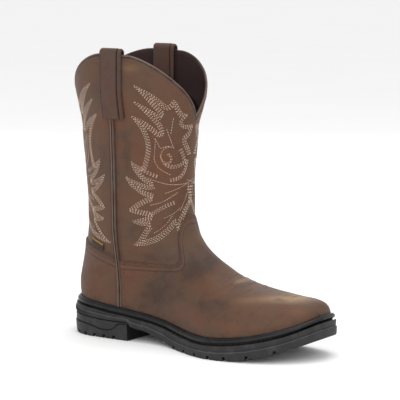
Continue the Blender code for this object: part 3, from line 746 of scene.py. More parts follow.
class Value:
    """Socket of a shader node that works in Python expressions."""

    def __init__(self, recipe: "Recipe", socket: bpy.types.NodeSocket) -> None:
        """Keeps the recipe and the socket."""
        self.recipe = recipe
        self.socket = socket

    def __add__(self, other: Any) -> "Value":
        """Sum."""
        return self.recipe.math("ADD", self, other)

    __radd__ = __add__

    def __sub__(self, other: Any) -> "Value":
        """Difference."""
        return self.recipe.math("SUBTRACT", self, other)

    def __rsub__(self, other: Any) -> "Value":
        """Difference from a number."""
        return self.recipe.math("SUBTRACT", other, self)

    def __mul__(self, other: Any) -> "Value":
        """Product."""
        return self.recipe.math("MULTIPLY", self, other)

    __rmul__ = __mul__


class Recipe:
    """Nodes of one material, and the sockets that its finish reads."""

    def __init__(self, name: str) -> None:
        """Starts an empty material.

        Args:
            name: the material's name.
        """
        self.material = bpy.data.materials.new(name)
        self.material.use_nodes = True
        self.tree = self.material.node_tree
        self.tree.nodes.clear()
        self.place = Value(self, self.node("ShaderNodeTexCoord").outputs["Object"])

    def node(
        self, kind: str, settings: dict[str, Any] | None = None, values: dict[Any, Any] | None = None
    ) -> bpy.types.Node:
        """Adds a node.

        Args:
            kind: the node's type.
            settings: its own options, which are set first.
            values: a number, colour or link for each named or numbered socket.

        Returns:
            The node.
        """
        made = self.tree.nodes.new(kind)
        for name, value in (settings or {}).items():
            setattr(made, name, value)
        for key, value in (values or {}).items():
            if isinstance(value, Value):
                self.tree.links.new(value.socket, made.inputs[key])
            else:
                made.inputs[key].default_value = value
        return made

    def math(self, operation: str, first: Any, second: Any = 0.0) -> Value:
        """Result of a Math node."""
        made = self.node("ShaderNodeMath", {"operation": operation}, {0: first, 1: second})
        return Value(self, made.outputs[0])

    def field(self, name: str) -> Value:
        """Number that the mesh holds for each point."""
        made = self.node("ShaderNodeAttribute", {"attribute_name": name})
        return Value(self, made.outputs["Fac"])

    def noise(self, scale: float, detail: float = 3.0, roughness: float = 0.55) -> Value:
        """Cloudy pattern from 0 to 1, with about this many clouds to a metre."""
        values = {"Vector": self.place, "Scale": scale, "Detail": detail, "Roughness": roughness}
        return Value(self, self.node("ShaderNodeTexNoise", None, values).outputs[0])

    def cells(self, scale: float, feature: str = "F1") -> Value:
        """Distance inside a pattern of cells, with about this many to a metre."""
        values = {"Vector": self.place, "Scale": scale}
        made = self.node("ShaderNodeTexVoronoi", {"feature": feature}, values)
        return Value(self, made.outputs["Distance"])

    def smooth(self, value: Value, low: float, high: float) -> Value:
        """Smooth step of a value from 0 at the low end to 1 at the high end."""
        settings = {"interpolation_type": "SMOOTHSTEP"}
        made = self.node("ShaderNodeMapRange", settings, {0: value, 1: low, 2: high})
        return Value(self, made.outputs[0])

    def mix(self, share: Any, first: Any, second: Any) -> Value:
        """Colour between two colours."""
        values = {0: share, 6: paint(first), 7: paint(second)}
        return Value(self, self.node("ShaderNodeMix", {"data_type": "RGBA"}, values).outputs[2])

    def bump(self, height: Value, depth: float, strength: float = 1.0) -> Value:
        """Normal bent by a height, whose full range is a depth in metres."""
        made = self.node("ShaderNodeBump", None, {"Height": height, "Distance": depth, "Strength": strength})
        return Value(self, made.outputs[0])

    def finish(self, **values: Any) -> Material:
        """Ends the recipe with the shader.

        Args:
            values: inputs of the shader, with underscores for spaces.

        Returns:
            The material.
        """
        named = {name.replace("_", " "): paint(value) for name, value in values.items()}
        shader = self.node("ShaderNodeBsdfPrincipled", None, named)
        ended = {"Surface": Value(self, shader.outputs[0])}
        self.node("ShaderNodeOutputMaterial", None, ended)
        return self.material


def paint(value: Any) -> Any:
    """A colour of three numbers with its alpha, and anything else as it is."""
    return (*value, 1.0) if isinstance(value, tuple) and len(value) == 3 else value


Colour = tuple[float, float, float]


@dataclass(frozen=True)
class OiledLeather:
    """Waxy brown leather with clouds of tone, wear and a fine grain; its fields also carry painted highlights
    and painted shadow.
    """

    name: str
    brown: Colour
    dark: Colour
    grey: Colour
    red: Colour
    pale: Colour
    roughness: float = 0.5
    grain: float = 0.00022

    def make(self) -> Material:
        """Material that reads the fields dark, red and pale of its mesh."""
        recipe = Recipe(self.name)
        clouds = recipe.smooth(recipe.noise(19, 4, 0.6), 0.38, 0.64)
        drift = recipe.smooth(recipe.noise(42, 4, 0.65), 0.40, 0.66)
        patch = recipe.smooth(recipe.noise(85, 3, 0.6), 0.45, 0.7)
        fleck = recipe.noise(260, 4, 0.7)
        colour = recipe.mix(clouds, self.brown, self.grey)
        colour = recipe.mix(recipe.smooth(recipe.field("red") + drift * 0.45, 0.1, 1.1), colour, self.red)
        # The field pale holds scuffs and pull-up, and painted highlights on the toe's top, the piping's lit
        # side and one strip of each side seam.
        paleness = recipe.field("pale") * (0.6 + 0.8 * fleck)
        colour = recipe.mix(recipe.smooth(paleness, 0.05, 1.0), colour, self.pale)
        # The field dark holds dark tone, and painted shadow on the piping's shaded side and in the grooves of
        # the side seams and straps.
        shade = recipe.field("dark") * (0.7 + 0.3 * drift) + patch * 0.25
        shade = shade + recipe.smooth(fleck, 0.5, 0.8) * 0.3
        colour = recipe.mix(recipe.smooth(shade, 0.0, 1.1), colour, self.dark)
        pebble = recipe.cells(900)
        grain = pebble * 0.6 + recipe.noise(1500, 3, 0.6) * 0.5 + recipe.noise(320, 3, 0.6) * 0.7
        rough = self.roughness + (recipe.noise(60, 3) - 0.5) * 0.22 + (fleck - 0.5) * 0.16
        return recipe.finish(
            Base_Color=colour,
            Roughness=rough,
            Normal=recipe.bump(grain, self.grain),
            Specular_IOR_Level=0.2,
            Coat_Weight=0.03,
            Coat_Roughness=0.35,
        )


@dataclass(frozen=True)
class Thread:
    """Twisted sewing thread."""

    name: str
    colour: Colour
    shade: Colour

    def make(self) -> Material:
        """Material with a slow change of tone and a fine twist."""
        recipe = Recipe(self.name)
        colour = recipe.mix(recipe.smooth(recipe.noise(140, 3, 0.6), 0.35, 0.7), self.colour, self.shade)
        twist = recipe.noise(2600, 2, 0.6)
        return recipe.finish(
            Base_Color=colour,
            Roughness=0.55 + twist * 0.2,
            Normal=recipe.bump(twist, 0.0001),
            Sheen_Weight=0.25,
            Sheen_Roughness=0.5,
        )


@dataclass(frozen=True)
class Rubber:
    """Moulded rubber with a fine matt skin, and a painted highlight where its field edge is set."""

    name: str
    colour: Colour
    worn: Colour
    roughness: float
    highlight_gain: float = 2.6

    def make(self) -> Material:
        """Material with dusty clouds over a finely grained skin, and a paler painted highlight where the
        field edge is set.
        """
        recipe = Recipe(self.name)
        dust = recipe.smooth(recipe.noise(90, 5, 0.65), 0.42, 0.75)
        skin_grain = recipe.noise(1400, 3, 0.6)
        colour = recipe.mix(dust * 0.8 + recipe.smooth(skin_grain, 0.5, 0.8) * 0.2, self.colour, self.worn)
        # Painted highlight colour, mixed in by the mesh's field edge.
        lit = tuple(min(1.0, self.highlight_gain * part) for part in self.worn)
        colour = recipe.mix(recipe.field("edge") * (0.6 + dust * 0.4), colour, lit)
        return recipe.finish(
            Base_Color=colour,
            Roughness=self.roughness + (dust - 0.5) * 0.15 + (skin_grain - 0.5) * 0.12,
            Normal=recipe.bump(skin_grain + recipe.noise(420, 2) * 0.6, 0.00018),
            Specular_IOR_Level=0.2,
        )


@dataclass(frozen=True)
class Lining:
    """Dark lining with a leather facing below the collar."""

    name: str
    facing: Colour
    cloth: Colour

    def make(self) -> Material:
        """Material that reads the field facing of its mesh."""
        recipe = Recipe(self.name)
        facing = recipe.field("facing")
        cloud = recipe.noise(40, 3, 0.6)
        tone = recipe.mix(cloud, self.facing, tuple(0.72 * part for part in self.facing))
        colour = recipe.mix(facing, self.cloth, tone)
        weave = recipe.cells(1300) * (1 - facing) + recipe.noise(900, 3) * facing * 0.6
        return recipe.finish(
            Base_Color=colour,
            Roughness=0.92 - facing * 0.35,
            Normal=recipe.bump(weave, 0.00025),
            Specular_IOR_Level=0.12,
        )


@dataclass(frozen=True)
class WovenTab:
    """Plain dark woven tab with a gold edge."""

    name: str
    cloth: Colour
    edge: Colour

    def make(self) -> Material:
        """Material that reads the field edge of its mesh."""
        recipe = Recipe(self.name)
        weave = recipe.cells(1500)
        colour = recipe.mix(recipe.field("edge"), self.cloth, self.edge)
        return recipe.finish(
            Base_Color=recipe.mix(weave * 0.5, colour, self.cloth),
            Roughness=0.6 + weave * 0.3,
            Normal=recipe.bump(weave, 0.0002),
        )


@dataclass(frozen=True)
class Finishes:
    """Every material of the boot."""

    leather: Material
    strap: Material
    piping: Material
    lining: Material
    footbed: Material
    welt: Material
    sole: Material
    # Black rubber used only as painted shadow under the arch and on the heel's breast.
    groove: Material
    tab: Material
    pale_thread: Material
    rust_thread: Material
    dark_thread: Material


def make_finishes() -> Finishes:
    """All the materials, from their finishes.

    Returns:
        The boot's materials.
    """
    brown = OiledLeather(
        "brown_leather",
        brown=(0.098, 0.046, 0.025),
        dark=(0.046, 0.027, 0.019),
        grey=(0.080, 0.045, 0.029),
        red=(0.112, 0.042, 0.020),
        pale=(0.31, 0.195, 0.10),
    )
    strap = OiledLeather(
        "strap_leather",
        brown=(0.076, 0.037, 0.024),
        dark=(0.020, 0.012, 0.009),
        grey=(0.070, 0.043, 0.032),
        red=(0.092, 0.036, 0.021),
        pale=(0.17, 0.11, 0.08),
    )
    piping = OiledLeather(
        "piping_leather",
        brown=(0.085, 0.052, 0.038),
        dark=(0.016, 0.010, 0.008),
        grey=(0.105, 0.078, 0.064),
        red=(0.085, 0.042, 0.026),
        pale=(0.2, 0.145, 0.11),
    )
    return Finishes(
        leather=brown.make(),
        strap=strap.make(),
        piping=piping.make(),
        lining=Lining("dark_lining", (0.036, 0.02, 0.019), (0.007, 0.005, 0.005)).make(),
        footbed=Lining("footbed_cloth", (0.02, 0.018, 0.017), (0.014, 0.012, 0.012)).make(),
        welt=Rubber("black_rubber", (0.004, 0.004, 0.0045), (0.012, 0.012, 0.013), 0.34).make(),
        sole=Rubber("grey_rubber", (0.022, 0.022, 0.0225), (0.048, 0.047, 0.046), 0.6).make(),
        groove=Rubber("arch_shadow_rubber", (0.006, 0.005, 0.005), (0.012, 0.01, 0.01), 0.7).make(),
        tab=WovenTab("woven_tab", (0.018, 0.012, 0.009), (0.38, 0.2, 0.045)).make(),
        pale_thread=Thread("pale_thread", (0.80, 0.64, 0.50), (0.58, 0.43, 0.32)).make(),
        rust_thread=Thread("rust_thread", (0.16, 0.052, 0.022), (0.065, 0.022, 0.011)).make(),
        dark_thread=Thread("dark_thread", (0.032, 0.011, 0.007), (0.016, 0.007, 0.005)).make(),
    )


# Stitches


class Stitches(NamedTuple):
    """Size and spacing of a row's stitches, in millimetres."""

    pitch: float
    length: float
    thickness: float


def stitch_tree() -> Nodes:
    """Geometry Nodes that lay stitches along every chain of edges.

    Returns:
        The tree, with inputs for pitch, length, thickness and thread.
    """
    tree = bpy.data.node_groups.new("stitch_row", "GeometryNodeTree")
    for name, kind, way in (
        ("Geometry", "NodeSocketGeometry", "INPUT"),
        ("Pitch", "NodeSocketFloat", "INPUT"),
        ("Length", "NodeSocketFloat", "INPUT"),
        ("Thickness", "NodeSocketFloat", "INPUT"),
        ("Thread", "NodeSocketMaterial", "INPUT"),
        ("Geometry", "NodeSocketGeometry", "OUTPUT"),
    ):
        tree.interface.new_socket(name, in_out=way, socket_type=kind)
    made = {
        key: tree.nodes.new(kind)
        for key, kind in {
            "in": "NodeGroupInput",
            "curve": "GeometryNodeMeshToCurve",
            "even": "GeometryNodeResampleCurve",
            "tangent": "GeometryNodeInputTangent",
            "turn": "FunctionNodeAlignRotationToVector",
            "bead": "GeometryNodeMeshUVSphere",
            "size": "ShaderNodeCombineXYZ",
            "lay": "GeometryNodeInstanceOnPoints",
            "real": "GeometryNodeRealizeInstances",
            "smooth": "GeometryNodeSetShadeSmooth",
            "paint": "GeometryNodeSetMaterial",
            "out": "NodeGroupOutput",
        }.items()
    }
    made["even"].mode = "LENGTH"
    made["turn"].axis = "Z"
    made["bead"].inputs["Segments"].default_value = 6
    made["bead"].inputs["Rings"].default_value = 4
    made["bead"].inputs["Radius"].default_value = 0.5
    for start, out, end, into in (
        ("in", "Geometry", "curve", "Mesh"),
        ("curve", "Curve", "even", "Curve"),
        ("in", "Pitch", "even", "Length"),
        ("even", "Curve", "lay", "Points"),
        ("bead", "Mesh", "lay", "Instance"),
        ("tangent", "Tangent", "turn", "Vector"),
        ("turn", "Rotation", "lay", "Rotation"),
        ("in", "Thickness", "size", "X"),
        ("in", "Thickness", "size", "Y"),
        ("in", "Length", "size", "Z"),
        ("size", "Vector", "lay", "Scale"),
        ("lay", "Instances", "real", "Geometry"),
        ("real", "Geometry", "smooth", "Geometry"),
        ("smooth", "Geometry", "paint", "Geometry"),
        ("in", "Thread", "paint", "Material"),
        ("paint", "Geometry", "out", "Geometry"),
    ):
        tree.links.new(made[start].outputs[out], made[end].inputs[into])
    return tree


def sew(
    name: str, tree: Nodes, rows: Sequence[Array], size: Stitches, thread: Material
) -> Piece:
    """One piece that holds the stitches of several rows.

    Args:
        name: name of the piece.
        tree: Geometry Nodes that lay the stitches.
        rows: points along each row, on the last.
        size: size and spacing of the stitches.
        thread: material of the thread.

    Returns:
        The piece, as a plain mesh.
    """
    points = []
    edges = []
    for row in rows:
        first = sum(len(part) for part in points)
        points.append(in_frame(row))
        edges += [(first + index, first + index + 1) for index in range(len(row) - 1)]
    mesh = bpy.data.meshes.new(name)
    mesh.from_pydata(np.concatenate(points).tolist(), edges, [])
    made = bpy.data.objects.new(name, mesh)
    bpy.context.scene.collection.objects.link(made)
    nodes = made.modifiers.new("stitches", "NODES")
    nodes.node_group = tree
    given = {
        "Pitch": size.pitch * MM,
        "Length": size.length * MM,
        "Thickness": size.thickness * MM,
        "Thread": thread,
    }
    for item in tree.interface.items_tree:
        if item.in_out == "INPUT" and item.name in given:
            nodes[item.identifier] = given[item.name]
    flat_evaluated(made)
    return made


def evenly(points: Array, spacing: float) -> Array:
    """Points along a line at even spacing.

    Args:
        points: the line's points.
        spacing: distance from one point to the next.

    Returns:
        The even points.
    """
    steps = np.linalg.norm(np.diff(points, axis=0), axis=1)
    along = np.concatenate([[0.0], np.cumsum(steps)])
    count = max(2, int(round(along[-1] / spacing)) + 1)
    at = np.linspace(0.0, along[-1], count)
    return np.stack([np.interp(at, along, points[:, axis]) for axis in range(points.shape[1])], axis=1)


def soften(points: Array, passes: int = 2) -> Array:
    """A line with its corners cut off a little, and its ends kept.

    Args:
        points: the line's points.
        passes: how often the corners are cut.

    Returns:
        The softer line's points.
    """
    for _ in range(passes):
        near = points[:-1] * 0.75 + points[1:] * 0.25
        far = points[:-1] * 0.25 + points[1:] * 0.75
        between = np.stack([near, far], axis=1).reshape(-1, points.shape[1])
        points = np.concatenate([points[:1], between[1:-1], points[-1:]])
    return points


# Pieces of the upper


def seam_angle(row: Array, x: float) -> Array:
    """Angle at which the body's rows cross a place along the foot, on the outer side."""
    index = np.arange(len(ROWS), dtype=float)
    back_x = look_up(BACK, "z", "x", curve(index, column(ROWS, "back"), row))
    front_x, _, _ = front_line(curve(index, column(ROWS, "front"), row))
    return np.arccos(1 - 2 * (x - back_x) / (front_x - back_x))


@dataclass
class Shaft:
    """Hollow body of the upper, from under the overlays to the collar, with its lining."""

    columns: int = 288
    rows: int = 132
    first_row: float = 5.0
    lining_columns: int = 144
    lining_rows: int = 90
    fine_rows: int = 30
    facing_rows: float = 1.7
    facing_height: float = 0.7
    seam_dark: Bump = Bump(0.5, 5.5)
    seam_top: float = 236.0
    hem_dark: Bump = Bump(0.45, 7.0)
    hem_height: float = 92.0
    rim_dark: float = 0.5

    def build(self, finishes: Finishes) -> None:
        """Makes the leather and the lining.

        Args:
            finishes: the boot's materials.
        """
        angles = np.linspace(0, 2 * np.pi, self.columns, endpoint=False)
        rows = np.linspace(self.first_row, TOP_ROW, self.rows)
        points = skin(angles[None, :], rows[:, None])
        edge = skin(angles[None, :], np.array([[TOP_ROW]]), -UPPER_WALL / 2)
        points = np.concatenate([points, edge])
        fields = self.tones(points)
        faces = grid_quads(len(points), self.columns)
        leather = add_object("shaft_leather", points, faces, finishes.leather, fields)
        seat(leather, "upper_leather", "upper")
        self.build_lining(finishes)

    def tones(self, points: Array) -> dict[str, Array]:
        """How dark, red and pale the leather is at each point."""
        fields = tone_fields(points, SHAFT_SMUDGES)
        x, z = points[..., 0], points[..., 2]
        fields["dark"] += self.seam_dark.at(x - SIDE_SEAM_X) * (z < self.seam_top)
        fields["dark"] += self.hem_dark.at(z - self.hem_height)
        fields["dark"][-2:] += self.rim_dark
        return fields

    def build_lining(self, finishes: Finishes) -> None:
        """Inner face of the upper, with its leather facing.

        Args:
            finishes: the boot's materials.
        """
        angles = np.linspace(0, 2 * np.pi, self.lining_columns, endpoint=False)
        fine = np.linspace(TOP_ROW, TOP_ROW - 2.4, self.fine_rows)
        rows = np.concatenate([fine, np.linspace(TOP_ROW - 2.6, 0.0, self.lining_rows)])
        depth = np.where(rows > TOP_ROW - self.facing_rows, UPPER_WALL, UPPER_WALL - self.facing_height)
        points, normals = body_with_normals(angles[None, :], rows[:, None])
        points = points - normals * depth[:, None, None]
        collar = body_with_normals(angles[None, :], np.array([[TOP_ROW]]))
        points = np.concatenate([collar[0] - collar[1] * UPPER_WALL / 2, points])
        facing = np.concatenate([[TOP_ROW], rows]) > TOP_ROW - self.facing_rows
        facing = np.broadcast_to(facing[:, None], points.shape[:2])
        faces = grid_quads(len(points), self.lining_columns)
        lining = add_object("shaft_lining", points, faces, finishes.lining, {"facing": facing.astype(float)})
        seat(lining, "upper_leather", "upper")


class EdgePoint(NamedTuple):
    """Place on an overlay's upper edge, on the outer side."""

    x: float
    y: float
    z: float


VAMP_EDGE = rows_of(
    EdgePoint,
    (74.0, -34.6, 84.8), (99.0, -33.9, 84.8), (125.0, -31.9, 84.8), (135.0, -30.6, 84.9),
    (140.5, -29.0, 86.6), (143.0, -27.0, 91.5), (141.5, -24.5, 99.0), (139.2, -22.3, 109.0),
    (138.6, -18.4, 120.5), (138.6, -12.4, 130.6), (139.6, -7.5, 134.2),
    (141.0, -2.5, 135.2), (141.0, 0.0, 135.3),
)
COUNTER_EDGE = rows_of(
    EdgePoint,
    (0.0, 0.0, 104.0), (12.0, -10.0, 103.2), (24.0, -22.5, 99.8), (40.0, -32.0, 95.6),
    (55.0, -34.6, 91.0), (69.0, -34.6, 86.2),
)


class Part(Enum):
    """The two leather overlays of the foot."""

    VAMP = "vamp"
    COUNTER = "counter"


@dataclass
class Overlay:
    """Leather layer over the foot, with a cut edge that follows its own line."""

    part: Part
    columns: int = 130
    fine_rows: int = 22
    fine_spacing: float = 0.6
    coarse_rows: int = 52
    tuck: float = 5.0
    seam_overlap: float = 0.9
    row_troughs: tuple[float, ...] = (1.3, 3.8, 9.4)
    trough_width: float = 0.55
    trough_depth: float = 0.35
    puffs: tuple[tuple[float, Bump], ...] = ((2.5, Bump(0.25, 1.1)), (6.6, Bump(0.2, 2.4)))
    edge_radius: float = 0.9
    edge_share: float = 0.12
    undercut: float = 0.6
    row_dark: Bump = Bump(0.6, 0.9)
    welt_dark: Bump = Bump(0.45, 6.0)
    seam_dark: Bump = Bump(0.5, 5.0)
    edge_red: Bump = Bump(0.35, 4.5)
    red_from_edge: float = 6.0

    def span(self, share: Array, row: Array) -> Array:
        """Angle at a share of the way round the outer side of this overlay, on a row."""
        sign = 1 if self.part is Part.VAMP else -1
        start = seam_angle(np.minimum(row, SHAFT_ROW), SIDE_SEAM_X + sign * self.seam_overlap)
        return start + share * (np.pi - start) if self.part is Part.VAMP else start * share

    def top_rows(self, share: Array) -> Array:
        """Row of the upper edge at shares of the way round.

        Args:
            share: the shares.

        Returns:
            The row at each share.
        """
        table = VAMP_EDGE if self.part is Part.VAMP else COUNTER_EDGE
        angle, row = locate(table)
        start = self.span(np.zeros(len(row)), row)
        end = self.span(np.ones(len(row)), row)
        at = np.clip((angle - start) / (end - start), 0.0, 1.0)
        at[-1 if self.part is Part.VAMP else 0] = 1.0 if self.part is Part.VAMP else 0.0
        keep = np.concatenate([[True], np.diff(at) > 0.004])
        return curve(at[keep], row[keep], share)

    def build(self, finishes: Finishes) -> None:
        """Makes the overlay on both sides at once.

        Args:
            finishes: the boot's materials.
        """
        share = np.linspace(0.0, 1.0, self.columns)
        top = self.top_rows(share)
        angles, rows, from_edge = self.chart(share, top)
        angles, rows, from_edge = self.both_halves(angles, rows, from_edge)
        trough = sum(bump_at(from_edge - at, self.trough_width) for at in self.row_troughs)
        puff = sum(bump.at(from_edge - place) for place, bump in self.puffs)
        rounded = np.sqrt(np.clip(1 - (1 - np.clip(from_edge / self.edge_radius, 0, 1)) ** 2, 0, 1))
        height = self.edge_share + (1 - self.edge_share) * rounded
        out = (GAP + LEATHER) * height - trough * self.trough_depth + puff * rounded
        points = skin(angles, rows, out)
        under = skin(angles[-1:], rows[-1:], -self.undercut)
        tucked = points[:1] - (0.0, 0.0, self.tuck)
        points = np.concatenate([tucked, points, under])
        from_edge = np.concatenate([from_edge[:1], from_edge, from_edge[-1:]])
        fields = self.tones(points, from_edge)
        faces = grid_quads(len(points), points.shape[1], closed=False)
        made = add_object(self.part.value + "_leather", points, faces, finishes.leather, fields)
        seat(made, "upper_leather", self.part.value)

    def chart(self, share: Array, top: Array) -> tuple[Array, Array, Array]:
        """Angles, rows and distances from the edge of the outer half's grid.

        Args:
            share: shares of the way round the outer half.
            top: row of the cut edge at each.

        Returns:
            The angles, the rows and the distances.
        """
        fine = np.arange(self.fine_rows) * self.fine_spacing
        dense = np.linspace(0.0, 1.0, 90)
        rows = top[None, :] * dense[:, None]
        angles = self.span(share[None, :], rows)
        points = body(angles, rows)
        steps = np.linalg.norm(np.diff(points, axis=0), axis=2)
        along = np.concatenate([np.zeros((1, len(share))), np.cumsum(steps, axis=0)])
        found = []
        for index in range(len(share)):
            length = along[-1, index]
            coarse = np.linspace(0.0, length - fine[-1] - 1.0, self.coarse_rows)
            at = np.concatenate([coarse, length - fine[::-1]])
            found.append(np.interp(at, along[:, index], rows[:, index]))
        rows = np.stack(found, axis=1)
        from_edge = np.concatenate([np.full(self.coarse_rows, 99.0), fine[::-1]])
        from_edge = np.broadcast_to(from_edge[:, None], rows.shape)
        return self.span(share[None, :], rows), rows, from_edge

    def both_halves(self, angles: Array, rows: Array, from_edge: Array) -> tuple[Array, Array, Array]:
        """The outer half's grid joined to its mirror image on the inner side.

        Args:
            angles: turns of the grid's points.
            rows: their rows of the upper.
            from_edge: their distances from the cut edge.

        Returns:
            The same three for both halves.
        """
        if self.part is Part.VAMP:
            mirrored = (2 * np.pi - angles[:, -2::-1], rows[:, -2::-1], from_edge[:, -2::-1])
            pairs = zip((angles, rows, from_edge), mirrored)
        else:
            mirrored = (-angles[:, :0:-1], rows[:, :0:-1], from_edge[:, :0:-1])
            pairs = zip(mirrored, (angles, rows, from_edge))
        return tuple(np.concatenate(pair, axis=1) for pair in pairs)

    def tones(self, points: Array, from_edge: Array) -> dict[str, Array]:
        """How dark, red and pale the leather is at each point."""
        fields = tone_fields(points, FOOT_SMUDGES)
        low = points[..., 2] - level_at("leather", points[..., 0])
        fields["dark"] += sum(self.row_dark.at(from_edge - at) for at in self.row_troughs)
        fields["dark"] += self.welt_dark.at(low) + self.seam_dark.at(points[..., 0] - SIDE_SEAM_X)
        fields["red"] += self.edge_red.at(from_edge - self.red_from_edge)
        return fields


@dataclass
class SideSeam:
    """Side seam: two leather strips with a groove between them, with painted shadow in the groove and a
    painted highlight on one strip.
    """

    name: str
    side: int
    half_width: float = 2.2
    height: float = 1.9
    seat_height: float = 0.75
    top: float = 236.0
    foot_clearance: float = 0.6
    foot_widening: float = 0.18
    widen_below: float = 90.0
    widen_height: float = 40.0
    strip_middle: float = 0.56
    strip_half: float = 0.44
    strip_power: float = 2.4
    groove_share: float = 0.12
    groove_depth: float = 0.3
    groove_shadow: Bump = Bump(1.6, 0.2)
    strip_highlight: Bump = Bump(0.55, 0.22)
    highlight_place: float = -0.55
    across: int = 26
    spacing: float = 1.5

    def profile(self) -> tuple[Array, Array]:
        """Shares across the seam and the height of its two rolled strips there."""
        share = np.linspace(-1, 1, self.across)
        middle = (np.abs(share) - self.strip_middle) / self.strip_half
        rolled = 1 - np.clip(np.abs(middle), 0, 1) ** self.strip_power
        height = self.height * np.sqrt(np.clip(rolled, 0, 1))
        return share, np.where(np.abs(share) < self.groove_share, -self.groove_depth, height)

    def build(self, finishes: Finishes) -> None:
        """Makes the two strips and the groove.

        Args:
            finishes: the boot's materials.
        """
        low = float(level_at("leather", SIDE_SEAM_X)) + self.foot_clearance
        levels = np.arange(low, self.top, self.spacing)
        share, height = self.profile()
        widen = 1.0 + self.foot_widening * ease((self.widen_below - levels) / self.widen_height)
        x = SIDE_SEAM_X + share[None, :] * self.half_width * widen[:, None]
        z = np.broadcast_to(levels[:, None], x.shape)
        out = np.broadcast_to(self.seat_height + height, x.shape)
        points = wall_point(self.side, x, z, out)
        faces = grid_quads(*x.shape, closed=False)
        if self.side == INNER:
            faces = [face[::-1] for face in faces]
        # Painted shadow in the groove, and a painted highlight along one strip.
        dark = np.broadcast_to(self.groove_shadow.at(share), x.shape)
        pale = np.broadcast_to(self.strip_highlight.at(share - self.highlight_place), x.shape)
        fields = {"dark": dark, "pale": pale, "red": np.zeros(x.shape)}
        made = add_object(self.name, points, faces, finishes.piping, fields)
        seat(made, "piping", self.name)


@dataclass
class Collar:
    """Rolled piping round the collar."""

    columns: int = 420
    sides: int = 12
    lift: float = 0.85
    fullness: float = 1.06
    upright: float = 1.12

    def build(self, finishes: Finishes) -> None:
        """Makes the piping on the collar's edge.

        Args:
            finishes: the boot's materials.
        """
        angles = np.linspace(0, 2 * np.pi, self.columns, endpoint=False)
        edge, outward = body_with_normals(angles, TOP_ROW)
        edge = edge - outward * UPPER_WALL / 2
        tangent = np.roll(edge, -1, axis=0) - np.roll(edge, 1, axis=0)
        tangent /= np.linalg.norm(tangent, axis=1, keepdims=True)
        up = np.cross(outward, tangent)
        up /= np.linalg.norm(up, axis=1, keepdims=True)
        middle = edge + up * (CORD_RADIUS * self.lift)
        turns = np.linspace(0, -2 * np.pi, self.sides, endpoint=False)
        rows = []
        for turn in turns:
            way = math.cos(turn) * outward + math.sin(turn) * self.upright * up
            rows.append(middle + self.fullness * CORD_RADIUS * way)
        rows = np.array(rows + rows[:1])
        faces = [face[::-1] for face in grid_quads(len(rows), self.columns)]
        # Painted light and shade on the cord: the side facing up and out is paler, the rest darker.
        light = np.broadcast_to(np.clip(np.sin(turns + 0.5), 0, 1)[:, None] ** 2, rows[:-1].shape[:2])
        light = np.concatenate([light, light[:1]])
        fields = {"dark": 0.75 - light, "pale": 0.4 * light, "red": np.zeros(light.shape)}
        made = add_object("collar_piping", rows, faces, finishes.piping, fields)
        seat(made, "piping", "collar_cord")


